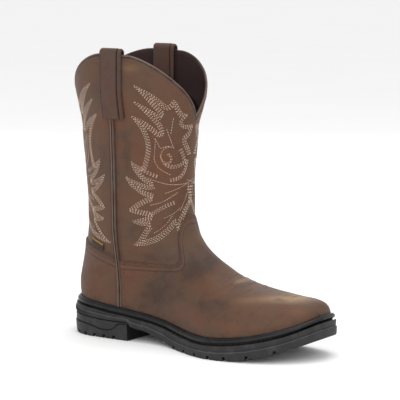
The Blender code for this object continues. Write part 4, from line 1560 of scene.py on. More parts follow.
@dataclass
class PullStrap:
    """Folded leather strap over the collar at a side seam."""

    name: str
    side: int
    x: float = 73.5
    half_width: float = 13.4
    thickness: float = 2.6
    outer_end: float = 235.0
    inner_end: float = 252.0
    straight_from: float = 284.0
    slack: float = 0.9
    stand_off: float = 0.5
    groove: float = 0.66
    rolled_edge: Bump = Bump(-1.1, 0.06)
    fold_line: Bump = Bump(-0.9, 0.025)
    fold_step: float = 0.35
    sewn_line: Bump = Bump(-0.25, 0.03)
    sewn_middle: float = -0.12
    sewn_reach: float = 0.72
    groove_shadow: Bump = Bump(1.1, 0.05)
    edge_dark: Bump = Bump(0.5, 0.08)
    paleness: Bump = Bump(0.22, 0.05)
    pale_line_at: float = 0.92
    redness: float = 0.1
    across: int = 60
    leg_steps: int = 44
    bend_steps: int = 18

    def path(self) -> Array:
        """Middle line: distance outside the shaft, height and way it faces.

        Returns:
            A row of the three for each step along the strap.
        """
        bend = CORD_RADIUS + GAP + self.slack + self.thickness / 2
        out = self.stand_off - UPPER_WALL / 2 - self.slack
        top = (COLLAR_OUTER_HEIGHT if self.side == OUTER else COLLAR_INNER_HEIGHT) - CORD_RADIUS
        turns = np.linspace(0, np.pi, self.bend_steps + 1)
        levels = np.linspace(self.outer_end, top, self.leg_steps, endpoint=False)
        outer = [(out + bend, z, 0.0) for z in levels]
        over = [(out + bend * math.cos(turn), top + bend * math.sin(turn), turn) for turn in turns]
        inner = [(out - bend, z, np.pi) for z in np.linspace(top, self.inner_end, self.leg_steps)[1:]]
        return np.array(outer + over + inner)

    def face_height(self, share: Array) -> Array:
        """Height of the outer face over the plain strap: rolled edges and a folded seam."""
        edge = self.rolled_edge.at(np.abs(share) - 1.0)
        line = self.fold_line.at(share - self.groove)
        layer = np.where(share > self.groove, -self.fold_step, 0.0)
        rows = self.sewn_line.at(np.abs(share - self.sewn_middle) - self.sewn_reach)
        return edge + line + layer + rows

    def surface(self, half: float) -> Array:
        """One face of the strap as a grid of points.

        Args:
            half: half of the thickness, negative for the inner face.

        Returns:
            The grid.
        """
        path = self.path()
        share = np.linspace(-1, 1, self.across)
        lift = self.face_height(share)[None, :] if half > 0 else 0.0
        out, z, turn = (path[:, index, None] for index in range(3))
        reach = half + lift + 0.0 * share[None, :]
        face_out = out + reach * np.cos(turn)
        face_z = z + reach * np.sin(turn)
        level = np.minimum(face_z, self.straight_from)
        x = np.broadcast_to(self.x + share[None, :] * self.half_width, face_out.shape)
        points = wall_point(self.side, x, level, face_out)
        points[..., 2] += face_z - level
        return points

    def build(self, finishes: Finishes) -> None:
        """Makes the strap.

        Args:
            finishes: the boot's materials.
        """
        top = self.surface(self.thickness / 2)
        under = self.surface(-self.thickness / 2)
        loop = np.concatenate([top, under[:, ::-1]], axis=1)
        rows, columns = loop.shape[:2]
        faces = grid_quads(rows, columns)
        if self.side == INNER:
            faces = [face[::-1] for face in faces]
        flip = 1 if self.side == OUTER else -1
        faces.append(tuple(range(columns))[::-flip])
        faces.append(tuple((rows - 1) * columns + index for index in range(columns))[::flip])
        share = np.concatenate([np.linspace(-1, 1, self.across), np.linspace(1, -1, self.across)])
        # Painted shadow in the fold's groove, and darker edges.
        dark = self.groove_shadow.at(share - self.groove) + self.edge_dark.at(np.abs(share) - 1)
        dark = np.broadcast_to(dark, (rows, columns))
        pale = np.broadcast_to(self.paleness.at(np.abs(share) - self.pale_line_at), (rows, columns))
        red = np.full((rows, columns), self.redness)
        fields = {"dark": dark, "pale": pale, "red": red}
        made = add_object(self.name + "_leather", loop, faces, finishes.strap, fields, 50)
        seat(made, "strap_leather", self.name)

    def face_line(self, share: float, low: float, high: float, count: int = 60) -> Array:
        """Points up the outer face of the strap, at a share across it.

        Args:
            share: place across, from -1 to 1.
            low: lowest height.
            high: highest height.
            count: how many points.

        Returns:
            The points.
        """
        z = np.linspace(low, high, count)
        path = self.path()
        out = path[0, 0] + self.thickness / 2 + 0.05
        level = np.minimum(z, self.straight_from)
        x = np.full(count, self.x + share * self.half_width)
        points = wall_point(self.side, x, level, np.full(count, out))
        points[:, 2] += z - level
        return points


@dataclass
class SideTab:
    """Small plain woven tab sewn above the counter's edge on the outer side."""

    start_x: float = 36.0
    end_x: float = 54.0
    clearance: float = 2.0
    height: float = 7.4
    thickness: float = 1.0
    edge_power: int = 6
    gold_at: float = 0.88
    gold_width: float = 0.1
    steps: int = 40
    across: int = 18

    def build(self, finishes: Finishes) -> None:
        """Makes the tab with a gold edge.

        Args:
            finishes: the boot's materials.
        """
        x = np.linspace(self.start_x, self.end_x, self.steps)
        counter_x = column(COUNTER_EDGE, "x")
        low = curve(counter_x, column(COUNTER_EDGE, "z"), x) + self.clearance
        share = np.linspace(0, 1, self.across)
        z = low[:, None] + share[None, :] * self.height
        rounded = np.sqrt(1 - np.abs(2 * share - 1) ** self.edge_power)
        out = np.broadcast_to(GAP + self.thickness * rounded, z.shape)
        points = wall_point(OUTER, np.broadcast_to(x[:, None], z.shape), z, out)
        edge = np.broadcast_to(bump_at(share - self.gold_at, self.gold_width), z.shape)
        faces = [face[::-1] for face in grid_quads(*z.shape, closed=False)]
        made = add_object("side_tab_woven", points, faces, finishes.tab, {"edge": edge})
        seat(made, "tab", "side_tab")


@dataclass
class Footbed:
    """Padded footbed inside the upper."""

    columns: int = 120
    rings: int = 14
    thickness: float = 3.0
    side: tuple[tuple[float, float], ...] = ((1.0, 0.0), (1.0, 0.75), (0.985, 0.95))
    rim: Bump = Bump(0.54, 0.12)
    rim_at: float = 0.9

    def build(self, finishes: Finishes) -> None:
        """Makes the footbed.

        Args:
            finishes: the boot's materials.
        """
        angles = np.linspace(0, 2 * np.pi, self.columns, endpoint=False)
        ring = welt_ring(-UPPER_WALL - GAP, angles)
        middle = np.stack([ring[:, 0], look_up(RIDGE, "x", "y", ring[:, 0])], axis=1)
        rows = []
        for share, height in self.side:
            rows.append((share, height * self.thickness))
        for share in np.linspace(0.95, 0.0, self.rings):
            rows.append((share, self.thickness + self.rim.at(share - self.rim_at)))
        points = []
        for share, height in rows:
            plan = middle + (ring - middle) * share
            level = level_at("leather", plan[:, 0]) - WELT_HEIGHT + GAP
            points.append(np.column_stack([plan, level + height]))
        faces = grid_quads(len(points), self.columns)
        made = add_object("footbed", np.array(points), faces, finishes.footbed)
        made.data.attributes.new("facing", "FLOAT", "POINT")
        seat(made, "footbed", "insole")


# Sole


class Section(NamedTuple):
    """Place on a section: distance outside the upper, and height from a level."""

    out: float
    height: float


WELT_SECTION = rows_of(
    Section,
    (1.6, -8.4), (2.0, 0.1), (2.3, 0.35), (2.8, 0.3), (3.4, -0.1), (4.3, -1.0), (5.2, -2.2),
    (5.6, -2.7), (5.8, -3.2), (5.8, -4.6), (5.5, -5.1), (4.6, -5.3), (3.4, -5.5),
    (3.2, -8.4),
)


class Wall(NamedTuple):
    """Side wall of the sole: distance out, share of the wall's height, and a further height."""

    out: float
    share: float
    height: float


SOLE_WALL = rows_of(
    Wall,
    (6.9, 0.0, 0.0), (7.6, 0.0, 0.5), (7.9, 0.0, 1.6), (8.0, 0.5, -1.6), (8.0, 0.5, -0.3),
    (7.9, 0.5, 0.1), (7.6, 0.5, 0.4), (7.1, 0.5, 0.7), (6.7, 0.5, 1.3), (6.9, 0.5, 1.9),
    (7.2, 1.0, -2.4), (7.1, 1.0, -1.5), (6.7, 1.0, -1.1), (5.6, 1.0, -1.0),
    (3.4, 1.0, -0.9),
)


class Step(NamedTuple):
    """Height of the step on the heel's side, at a place along it."""

    x: float
    z: float


HEEL_STEP = rows_of(
    Step,
    (0, 13.5), (20, 13.4), (34, 12.3), (45, 9.9), (53, 8.5), (61, 8.6), (66, 10.2),
    (71, 14.0), (76, 16.8), (86, 17.3),
)


class HeelLevel(Enum):
    """Level that a heel height is measured from."""

    FLOOR = "floor"
    STEP = "step"
    SOLE = "sole"


class HeelWall(NamedTuple):
    """Place on the heel's side: distance out, level and height from it."""

    out: float
    level: HeelLevel
    height: float


HEEL_WALL = (
    HeelWall(5.4, HeelLevel.FLOOR, 0.0),
    HeelWall(6.6, HeelLevel.FLOOR, 0.6),
    HeelWall(7.1, HeelLevel.FLOOR, 3.0),
    HeelWall(7.9, HeelLevel.STEP, -1.8),
    HeelWall(8.1, HeelLevel.STEP, -0.7),
    HeelWall(7.8, HeelLevel.STEP, 0.0),
    HeelWall(5.8, HeelLevel.STEP, 0.2),
    HeelWall(5.8, HeelLevel.STEP, 1.1),
    HeelWall(7.3, HeelLevel.STEP, 1.5),
    HeelWall(7.5, HeelLevel.SOLE, -1.8),
    HeelWall(7.1, HeelLevel.SOLE, -1.1),
    HeelWall(5.0, HeelLevel.SOLE, -0.6),
    HeelWall(4.6, HeelLevel.SOLE, 1.6),
)


@dataclass
class Welt:
    """Black rubber welt all the way round."""

    columns: int = 400
    # Height and width of a painted highlight: a pale sheen line along the welt's lower bead, carried in the
    # field edge.
    pale_line_at: float = -2.9
    highlight_width: float = 0.35

    def build(self, finishes: Finishes) -> None:
        """Makes the welt.

        Args:
            finishes: the boot's materials.
        """
        angles = np.linspace(0, 2 * np.pi, self.columns, endpoint=False)
        rows = []
        lit = []
        for section in WELT_SECTION + WELT_SECTION[:1]:
            ring = welt_ring(section.out, angles)
            rows.append(np.column_stack([ring, level_at("leather", ring[:, 0]) + section.height]))
            # Painted highlight on the rows near that height.
            lit.append(bump_at(section.height - self.pale_line_at, self.highlight_width))
        faces = [face[::-1] for face in grid_quads(len(rows), self.columns)]
        edge = np.broadcast_to(np.array(lit)[:, None], (len(rows), self.columns))
        made = add_object("rubber_welt", np.array(rows), faces, finishes.welt, {"edge": edge}, 50)
        seat(made, "welt", "welt")


@dataclass
class Sole:
    """Moulded sole with its heel, side step, lugs and channels."""

    columns: int = 260
    breast_clearance: float = 3.0
    heel_slot_pitch: float = 12.6
    lug_slots: tuple[float, ...] = (150, 168, 186, 204, 222, 245, 270)
    cross_grooves: tuple[float, ...] = (20, 58, 168, 186, 204, 222, 245)
    slot_depth: float = 3.9
    slot_width: float = 3.2
    slot_reach: float = 14.0
    slot_overrun: float = 4.0
    groove_depth: float = 2.6
    channel_width: float = 3.2
    channel_depth: float = 2.9
    channel_ends: tuple[float, float] = (146.0, 276.0)
    channel_steps: int = 40
    cut_below: float = 5.0
    direction_step: float = 2.5
    rib: Stitches = Stitches(0.8, 1.6, 0.7)
    rib_pitch: float = 1.5
    rib_out: float = 8.0
    rib_start: float = 1.8
    rib_gap: float = 0.6
    rib_steps: int = 6
    rib_end_x: float = 40.0
    arch_end: float = 134.0
    under_tilt: float = -0.4
    breast_tilt: float = 0.8
    sharp_angle: float = 32.0
    ledge_share: float = 0.5
    # The ledge's outer edge and the outer edge of the heel's step carry a painted highlight in the field
    # edge.
    ledge_lit: tuple[float, float] = (0.1, 0.3)
    step_lit: tuple[float, float] = (-0.7, 0.0)

    def angles(self) -> Array:
        """Angles round the sole from the back by the outer side."""
        return np.linspace(0, 2 * np.pi, self.columns, endpoint=False)

    def build(self, finishes: Finishes, tree: Nodes) -> None:
        """Makes the sole in one piece, with its cuts, and the ribs of the heel.

        Args:
            finishes: the boot's materials.
            tree: Geometry Nodes that lay the ribs.
        """
        rows = []
        for wall in SOLE_WALL:
            ring = welt_ring(wall.out, self.angles())
            top = level_at("leather", ring[:, 0]) - WELT_HEIGHT
            under = level_at("underside", ring[:, 0])
            rows.append(np.column_stack([ring, under + (top - under) * wall.share + wall.height]))
        # Painted highlight on the ledge's outer edge.
        place, reach = self.ledge_lit
        on_ledge = [wall.share == self.ledge_share and abs(wall.height - place) < reach for wall in SOLE_WALL]
        lit = np.array(on_ledge, float)
        sole = self.plate("moulded_sole", np.array(rows), finishes.sole, lit)
        self.combine(sole, self.heel_block(finishes.sole), "UNION")
        self.combine(sole, self.channels(finishes.sole), "DIFFERENCE")
        self.combine(sole, self.slots(finishes.sole), "DIFFERENCE")
        sole.data.polygons.foreach_set("use_smooth", [True] * len(sole.data.polygons))
        sole.data.set_sharp_from_angle(angle=math.radians(self.sharp_angle))
        sole.data.materials.clear()
        sole.data.materials.append(finishes.sole)
        # Second material: painted shadow under the arch and on the heel's breast.
        sole.data.materials.append(finishes.groove)
        self.paint_arch_shadow(sole)
        seat(sole, "sole", "outsole")
        self.build_ribs(finishes, tree)

    def paint_arch_shadow(self, sole: Piece) -> None:
        """Paints shadow on the heel's breast and the arch's underside by giving them the dark second finish.

        Args:
            sole: the sole, whose second material is the black rubber of the painted shadow.
        """
        for face in sole.data.polygons:
            x = face.center.x / MM + HEEL_REST_X
            in_shade = face.normal.z < self.under_tilt or face.normal.x > self.breast_tilt
            face.material_index = int(in_shade and BREAST_X - 1 < x < self.arch_end)

    def plate(self, name: str, rows: Array, finish: Material, lit: Array) -> Piece:
        """Closed solid from rows that go round a paired outline.

        Args:
            name: name of the solid.
            rows: points of each row, from the underside up.
            finish: its material.
            lit: how strongly each row carries a painted highlight along its edge.

        Returns:
            The solid.
        """
        count, columns = rows.shape[:2]
        faces = grid_quads(count, columns)
        faces += self.strips(0, columns, True)
        faces += self.strips((count - 1) * columns, columns, False)
        return add_object(name, rows, faces, finish, {"edge": np.repeat(lit, columns)})

    def strips(self, base: int, columns: int, flip: bool) -> list[tuple[int, ...]]:
        """Faces from side to side across a flat outline.

        Args:
            base: number of the outline's first point.
            columns: how many points it has, paired from side to side.
            flip: whether the faces look down.

        Returns:
            The faces.
        """
        faces = []
        for step in range(columns // 2 + 1):
            corners = (step, step + 1, columns - step - 1, (columns - step) % columns)
            face = tuple(dict.fromkeys(base + corner for corner in corners))
            if len(face) > 2 and step + 1 <= columns - step - 1:
                faces.append(face[::-1] if flip else face)
        return faces

    def combine(self, target: Piece, tool: Piece, operation: str) -> None:
        """Changes the target by a second solid, which is then taken away.

        Args:
            target: the solid that changes.
            tool: the second solid.
            operation: what is done, such as DIFFERENCE.
        """
        change = target.modifiers.new("cut", "BOOLEAN")
        change.operation = operation
        change.solver = "EXACT"
        change.object = tool
        change.use_self = True
        flat_evaluated(target)
        bpy.data.objects.remove(tool)

    def heel_loop(self, out: float) -> Array:
        """Plan of the heel at a distance outside the upper, cut straight at the breast.

        Args:
            out: the distance.

        Returns:
            The loop's x and y.
        """
        ring = welt_ring(out, self.angles())
        side = ring[:, 0] < BREAST_X - 0.2
        half = self.columns // 2
        outer = ring[:half][side[:half]]
        inner = ring[half:][side[half:]]
        corner_outer = [BREAST_X, np.interp(BREAST_X, ring[:half, 0], ring[:half, 1])]
        corner_inner = [BREAST_X, np.interp(BREAST_X, ring[half:, 0][::-1], ring[half:, 1][::-1])]
        return np.concatenate([outer, [corner_outer], [corner_inner], inner])

    def heel_block(self, finish: Material) -> Piece:
        """Heel below the sole, with a flat breast and the step on its sides.

        Args:
            finish: its material.

        Returns:
            The solid.
        """
        rows = []
        count = min(len(self.heel_loop(wall.out)) for wall in HEEL_WALL)
        for wall in HEEL_WALL:
            loop = self.even_loop(self.heel_loop(wall.out), count)
            level = {
                HeelLevel.FLOOR: np.zeros(len(loop)),
                HeelLevel.STEP: look_up(HEEL_STEP, "x", "z", loop[:, 0]),
                HeelLevel.SOLE: level_at("underside", loop[:, 0]),
            }[wall.level]
            rows.append(np.column_stack([loop, level + wall.height]))
        faces = grid_quads(len(rows), count)
        faces += self.strips(0, count, True)
        faces += self.strips((len(rows) - 1) * count, count, False)
        # Painted highlight on the step's outer edge.
        on_step = [wall.level is HeelLevel.STEP and wall.height in self.step_lit for wall in HEEL_WALL]
        lit = np.array(on_step, float)
        return add_object("heel_block", np.array(rows), faces, finish, {"edge": np.repeat(lit, count)})

    def even_loop(self, loop: Array, count: int) -> Array:
        """The heel's outline with a set number of points, paired side to side.

        Args:
            loop: the outline.
            count: how many points it gets.

        Returns:
            The outline's new points.
        """
        corner = int(np.argmax(np.abs(loop[:, 0] - BREAST_X) < 1e-6))
        half = (count - 1) // 2
        halves = []
        for part in (loop[: corner + 1], np.concatenate([loop[corner + 1 :], loop[:1]])[::-1]):
            steps = np.concatenate([[0.0], np.cumsum(np.hypot(*np.diff(part, axis=0).T))])
            at = np.linspace(0.0, steps[-1], half + 1)
            halves.append(np.stack([np.interp(at, steps, part[:, axis]) for axis in (0, 1)], axis=1))
        outer, inner = halves
        joined = np.concatenate([outer, inner[:0:-1]])
        if len(joined) < count:
            joined = np.concatenate([joined, joined[-1:] * 0.5 + joined[:1] * 0.5])
        return joined

    def under_at(self, x: float) -> float:
        """Height of the tread's face: the floor below the heel, and the underside ahead."""
        return 0.0 if x < BREAST_X else float(level_at("underside", x))

    def ring_place(self, offset: float, x: float, side: int) -> tuple[Array, Array]:
        """Point and outward direction on a plan ring at a given x.

        Args:
            offset: distance of the ring outside the upper.
            x: the place along the foot.
            side: OUTER or INNER.

        Returns:
            The point and the direction.
        """
        ring = welt_ring(offset, self.angles())
        half = self.columns // 2
        part = ring[: half + 1] if side < 0 else np.roll(ring, half, axis=0)[: half + 1][::-1]
        near = [np.interp(x + step * self.direction_step, part[:, 0], part[:, 1]) for step in (-1, 0, 1)]
        outward = np.array([near[0] - near[2], 2 * self.direction_step]) * side
        return np.array([x, near[1]]), outward / np.linalg.norm(outward)

    def heel_places(self) -> list[tuple[Array, Array]]:
        """Points and outward directions round the heel, at the pitch of its slots.

        Returns:
            A point and a direction for each slot.
        """
        loop = self.heel_walk(SOLE_REACH)
        along = np.concatenate([[0.0], np.cumsum(np.hypot(*np.diff(loop, axis=0).T))])
        count = int(along[-1] / 2 / self.heel_slot_pitch)
        places = []
        for index in range(-count, count + 1):
            at = along[-1] / 2 + index * self.heel_slot_pitch
            runs = [at + step * self.direction_step for step in (-1, 0, 1)]
            near = [np.array([np.interp(run, along, loop[:, axis]) for axis in (0, 1)]) for run in runs]
            tangent = (near[2] - near[0]) / np.linalg.norm(near[2] - near[0])
            if near[1][0] < BREAST_X - self.breast_clearance - self.slot_width:
                places.append((near[1], np.array([tangent[1], -tangent[0]])))
        return places

    def heel_walk(self, out: float) -> Array:
        """Plan line round the heel from the inner breast corner to the outer one."""
        ring = welt_ring(out, self.angles())
        half = self.columns // 2
        loop = np.concatenate([ring[half:], ring[:half]])
        return loop[loop[:, 0] < BREAST_X + self.heel_slot_pitch]

    def cut_box(self, centre: Array, direction: Array, length: float, high: float) -> Array:
        """Corners of a cutting box that lies along a direction in plan.

        Args:
            centre: its middle in plan.
            direction: the way that its length goes.
            length: its length.
            high: height that it cuts up to, over the tread's face.

        Returns:
            Eight corners.
        """
        along = np.array(direction) * length / 2
        beside = np.array([-direction[1], direction[0]]) * self.slot_width / 2
        start, end = np.array(centre) - along, np.array(centre) + along
        under = self.under_at(centre[0])
        loop = [start - beside, end - beside, end + beside, start + beside]
        low = [(*corner, under - self.cut_below) for corner in loop]
        return np.array(low + [(*corner, under + high) for corner in loop])

    def edge_slot(self, point: Array, outward: Array) -> Array:
        """Box that cuts a slot in from the tread's edge."""
        centre = point - outward * (self.slot_reach / 2 - self.slot_overrun)
        return self.cut_box(centre, outward, self.slot_reach + self.slot_overrun, self.slot_depth)

    def cross_groove(self, x: float) -> Array:
        """Box that cuts a groove across the middle of the tread."""
        outer = float(outline_y(OUTER, np.array([x]))[0])
        inner = float(outline_y(INNER, np.array([x]))[0])
        length = inner - outer + 2 * (SOLE_REACH - self.slot_reach)
        centre = np.array([x, (outer + inner) / 2])
        return self.cut_box(centre, np.array([0.0, 1.0]), length, self.groove_depth)

    def slots(self, finish: Material) -> Piece:
        """Slots between the edge lugs, and grooves across the middle, as one cutting mesh.

        Args:
            finish: its material.

        Returns:
            The cutting mesh.
        """
        cuts = [self.edge_slot(point, outward) for point, outward in self.heel_places()]
        for x in self.lug_slots:
            for side in (OUTER, INNER):
                cuts.append(self.edge_slot(*self.ring_place(SOLE_REACH, x, side)))
        cuts += [self.cross_groove(x) for x in self.cross_grooves]
        faces = []
        for index in range(len(cuts)):
            base = index * 8
            faces += [tuple(base + corner for corner in face) for face in grid_quads(2, 4)]
            faces += [(base + 3, base + 2, base + 1, base), (base + 4, base + 5, base + 6, base + 7)]
        return add_object("cut_slots", np.concatenate(cuts), faces, finish)

    def channels(self, finish: Material) -> Piece:
        """Channels that run along inside the rows of edge lugs, as one cutting mesh.

        Args:
            finish: its material.

        Returns:
            The cutting mesh.
        """
        xs = np.linspace(*self.channel_ends, self.channel_steps)
        paths = []
        for side in (OUTER, INNER):
            paths.append([self.ring_place(SOLE_REACH - self.slot_reach, x, side)[0] for x in xs])
        paths.append([point - outward * self.slot_reach for point, outward in self.heel_places()])
        points, faces = [], []
        for path in paths:
            tangent = np.gradient(np.array(path), axis=0)
            tangent /= np.linalg.norm(tangent, axis=1, keepdims=True)
            beside = np.stack([-tangent[:, 1], tangent[:, 0]], axis=1) * self.channel_width / 2
            first = len(points)
            for point, step in zip(path, beside):
                low = self.under_at(point[0]) - self.cut_below
                high = self.under_at(point[0]) + self.channel_depth
                left, right = point - step, point + step
                points += [(*left, low), (*right, low), (*right, high), (*left, high)]
            faces += [tuple(first + corner for corner in face) for face in grid_quads(len(path), 4)]
            last = len(points) - 4
            faces += [(first + 3, first + 2, first + 1, first), (last, last + 1, last + 2, last + 3)]
        return add_object("cut_channels", np.array(points), faces, finish)

    def build_ribs(self, finishes: Finishes, tree: Nodes) -> None:
        """Fine upright ribs round the back of the sole, above the heel.

        Args:
            finishes: the boot's materials.
            tree: Geometry Nodes that lay beads along a line.
        """
        walk = self.heel_walk(self.rib_out)
        walk = evenly(walk[walk[:, 0] < self.rib_end_x], self.rib_pitch)
        rows = []
        for x, y in walk:
            under = float(level_at("underside", x))
            ledge = (float(level_at("leather", x)) - WELT_HEIGHT + under) / 2
            z = np.linspace(under + self.rib_start, ledge - self.rib_gap, self.rib_steps)
            rows.append(np.column_stack([np.full_like(z, x), np.full_like(z, y), z]))
        made = sew("heel_ribs", tree, rows, self.rib, finishes.sole)
        seat(made, "sole")


# Sewn pattern of the shaft


class Chart(NamedTuple):
    """Line of the pattern: degrees from the panel's middle line and height, and its inner side."""

    inner: int
    places: tuple[tuple[float, float], ...]


BELOW = 1
ABOVE = -1
OUTLINE = Chart(
    ABOVE,
    (
        (4.4, 199.6), (9, 207.2), (15.9, 213.8), (8.6, 217.6), (6, 221.6), (2.6, 230), (17.7, 228),
        (23.5, 232.8), (19.1, 236.8), (16.3, 240.9), (23.6, 240.7), (27.6, 244.4), (31.8, 251.8),
        (36.5, 256.5), (38.4, 252.9), (40.5, 249.3), (44.6, 251.3), (48, 254.9), (53.6, 259.5),
        (59.5, 264), (66.2, 267.4), (72.9, 271.3), (67.1, 264.8), (61.3, 256.7), (56.8, 250.6),
        (52.1, 245.5), (44.6, 237.2), (47.8, 239.3), (53.7, 242.8), (60.2, 247.4), (67.3, 251.3),
        (73.4, 254.9), (66.3, 247.2), (59.7, 240.1), (53.6, 234), (47.7, 227.8), (44.8, 220.2),
        (47.8, 222.6), (53.7, 227.7), (60.9, 232.7), (68.5, 236.1), (75.6, 239.2), (71.2, 234.5),
        (66.1, 227.3), (62.1, 220.2), (59.2, 210.9), (59.1, 200.5), (61.7, 190), (62.6, 184.6),
        (69.7, 187.5), (75.2, 192), (72.8, 183.2), (66.8, 175.1), (59.6, 169.1), (52.3, 166),
        (60.7, 167), (68.9, 169.8), (76.2, 172.5), (81.3, 176.4), (77.3, 167.2), (70.2, 161.4),
        (62, 155.5), (53.2, 154.5), (58.9, 153.5), (65.3, 150.3), (72.9, 145.5), (79.3, 139.6),
        (73.5, 137.3), (64.2, 135.5), (54.9, 134.5), (64.5, 131.9), (71, 130), (76.8, 128.2),
        (71.5, 125.8), (65.4, 124.6), (57.8, 125.9), (60.7, 123.7), (65.9, 117.8), (74, 108),
        (82.6, 102.6), (72.5, 103.5), (62.7, 106), (51.5, 110.2), (39.9, 116.9), (30.4, 123.5),
        (25.7, 128.5), (28.5, 117.3), (21.4, 125.3), (13.5, 133.5), (6.4, 141.9), (-4.9, 149.8),
        (-5.8, 164.3),
    ),
)
INNER_FLAMES = (
    Chart(BELOW, ((62.6, 184.6), (56.6, 180.7), (48, 177.5))),
    Chart(ABOVE, ((54.9, 134.8), (45.6, 140.2), (35.9, 144.8), (28.0, 147.3))),
)
SCROLL = (
    Chart(
        ABOVE,
        ((36.6, 199), (33, 196), (33.5, 191.5), (38, 190), (42.5, 193), (44.8, 197.6), (42, 205), (36, 207)),
    ),
    Chart(
        ABOVE,
        (
            (44.8, 197.6), (42, 189.3), (33.9, 184.5), (24, 184.8), (14.2, 188.6), (11.9, 192.6),
            (15.9, 199.2), (19.3, 204.5),
        ),
    ),
    Chart(ABOVE, ((11.9, 192.6), (12.5, 186.4), (15.4, 180.2), (22, 175.3), (32.2, 173.5))),
)
VEINS = (
    ((33.4, 236.1), (33, 228.8), (34.1, 221.5)),
    ((38.6, 224.7), (36.3, 219.4), (33.1, 212.1), (30.5, 206.4)),
    ((30.5, 206.4), (38.1, 208), (45.5, 204.9), (47.2, 210.1), (50.3, 214.7)),
    ((50.3, 214.7), (50.6, 203.8), (51.6, 193.3), (46.2, 184), (33.6, 178.2)),
    ((54.9, 146.3), (42.8, 149), (32, 154.7), (24, 158.7)),
    ((38, 158.9), (26.8, 161.9), (9.6, 167.4)),
    ((54.9, 117.2), (46.3, 121.5), (37.8, 127.7), (31.5, 134.4)),
    ((40.1, 132.9), (29.3, 136.9), (20, 142.8)),
    ((18.9, 140.7), (11.7, 150.8), (6, 160.9), (4.2, 167.1)),
    ((56.5, 174.4), (50.2, 171.4), (39.1, 168.4), (26.7, 167.1), (9.7, 168), (-6.9, 171.7)),
)


class Panel(Enum):
    """The shaft's two halves, each with the same sewn pattern."""

    FRONT = "front"
    BACK = "back"


@dataclass
class ShaftPattern:
    """Flames of stitching on a half of the shaft, the same on both its sides."""

    panel: Panel
    back_spread: float = 0.92
    pale_rows: tuple[float, ...] = (0.0, 1.4, 2.8, 4.2)
    rust_rows: tuple[float, ...] = (5.8, 7.3, 8.8, 10.3, 11.8, 13.3, 15.0, 17.0)
    pale_stitch: Stitches = Stitches(2.9, 1.7, 0.56)
    rust_stitch: Stitches = Stitches(2.6, 1.9, 0.7)
    vein_stitch: Stitches = Stitches(2.5, 1.8, 0.5)
    spacing: float = 1.0
    shortest: int = 14
    tolerance: float = 0.25
    lift: float = 0.18
    middle_x: float = 76.0

    def on_shaft(self, places: Array, side: int) -> Array:
        """Points on the shaft at charted places, on one side of the panel's middle line.

        Args:
            places: rows of degrees and height.
            side: 1, or -1 for the mirrored half.

        Returns:
            The points.
        """
        degrees = side * places[:, 0]
        if self.panel is Panel.BACK:
            angle = -np.radians(degrees * self.back_spread)
        else:
            angle = np.pi - np.radians(degrees)
        z = places[:, 1]
        along = (1 - np.cos(angle)) / 2
        back_x = look_up(BACK, "z", "x", z)
        x = back_x + (np.interp(z, FRONT_Z, FRONT_X) - back_x) * along
        outer = np.sin(angle) >= 0
        points = np.empty((len(z), 3))
        for is_outer, way in ((True, OUTER), (False, INNER)):
            part = outer == is_outer
            points[part] = wall_point(way, x[part], z[part], np.full(part.sum(), self.lift))
        normals = points - np.column_stack([np.full(len(z), self.middle_x), np.zeros(len(z)), z])
        normals /= np.linalg.norm(normals, axis=1, keepdims=True)
        return points + normals * relief(points)[:, None]

    def offset(self, places: Array, distance: float, inner: int) -> Array:
        """Charted places moved to the pattern's inner side by a distance in millimetres.

        Args:
            places: rows of degrees and height.
            distance: how far they move.
            inner: which side is the inner one.

        Returns:
            The moved places.
        """
        scale = self.across_scale(places)
        flat = np.column_stack([-places[:, 0] * scale, places[:, 1]])
        tangent = np.gradient(flat, axis=0)
        tangent /= np.linalg.norm(tangent, axis=1, keepdims=True) + 1e-9
        moved = flat + np.column_stack([tangent[:, 1], -tangent[:, 0]]) * distance * inner
        return np.column_stack([-moved[:, 0] / scale, moved[:, 1]])

    def across_scale(self, places: Array) -> Array:
        """Millimetres to a degree across the chart."""
        step = np.array([0.5, 0.0])
        wide = self.on_shaft(places + step, 1) - self.on_shaft(places - step, 1)
        return np.linalg.norm(wide, axis=1)

    def smooth_line(self, places: tuple[tuple[float, float], ...]) -> Array:
        """A charted line with soft corners and even points."""
        return evenly(soften(np.array(places, float)), self.spacing)

    def rows(self, charts: Sequence[Chart], distances: Sequence[float]) -> list[Array]:
        """Rows of stitches beside the charted lines, ended where they meet another line's.

        Args:
            charts: the lines.
            distances: how far each row is from its line.

        Returns:
            The points of each row, on both sides of the panel.
        """
        lines = [self.smooth_line(chart.places) for chart in charts]
        every = self.on_shaft(np.concatenate(lines), 1)
        made = []
        for chart, line in zip(charts, lines):
            for rank, distance in enumerate(distances):
                row = self.offset(line, distance, chart.inner)
                away = self.on_shaft(row, 1)[:, None] - every[None]
                away = np.linalg.norm(away, axis=2).min(axis=1)
                clear = np.flatnonzero(away > distance - self.tolerance)
                for run in np.split(clear, np.flatnonzero(np.diff(clear) > 1) + 1):
                    if len(run) > self.shortest:
                        shifted = row[run[rank % 2 :]]
                        made += [self.on_shaft(shifted, side) for side in (1, -1)]
        return made

    def build(self, finishes: Finishes, tree: Nodes) -> None:
        """Sews the panel.

        Args:
            finishes: the boot's materials.
            tree: Geometry Nodes that lay the stitches.
        """
        name = self.panel.value
        pale = self.rows((OUTLINE,), self.pale_rows)
        pale += self.rows(INNER_FLAMES + SCROLL, self.pale_rows[:3])
        veins = [self.on_shaft(self.smooth_line(vein), side) for vein in VEINS for side in (1, -1)]
        rust = self.rows((OUTLINE,), self.rust_rows)
        for part, rows, size, thread in (
            ("flames", pale, self.pale_stitch, finishes.pale_thread),
            ("veins", veins, self.vein_stitch, finishes.pale_thread),
            ("inner_rows", rust, self.rust_stitch, finishes.rust_thread),
        ):
            seat(sew(f"{name}_{part}", tree, rows, size, thread), "upper_leather")


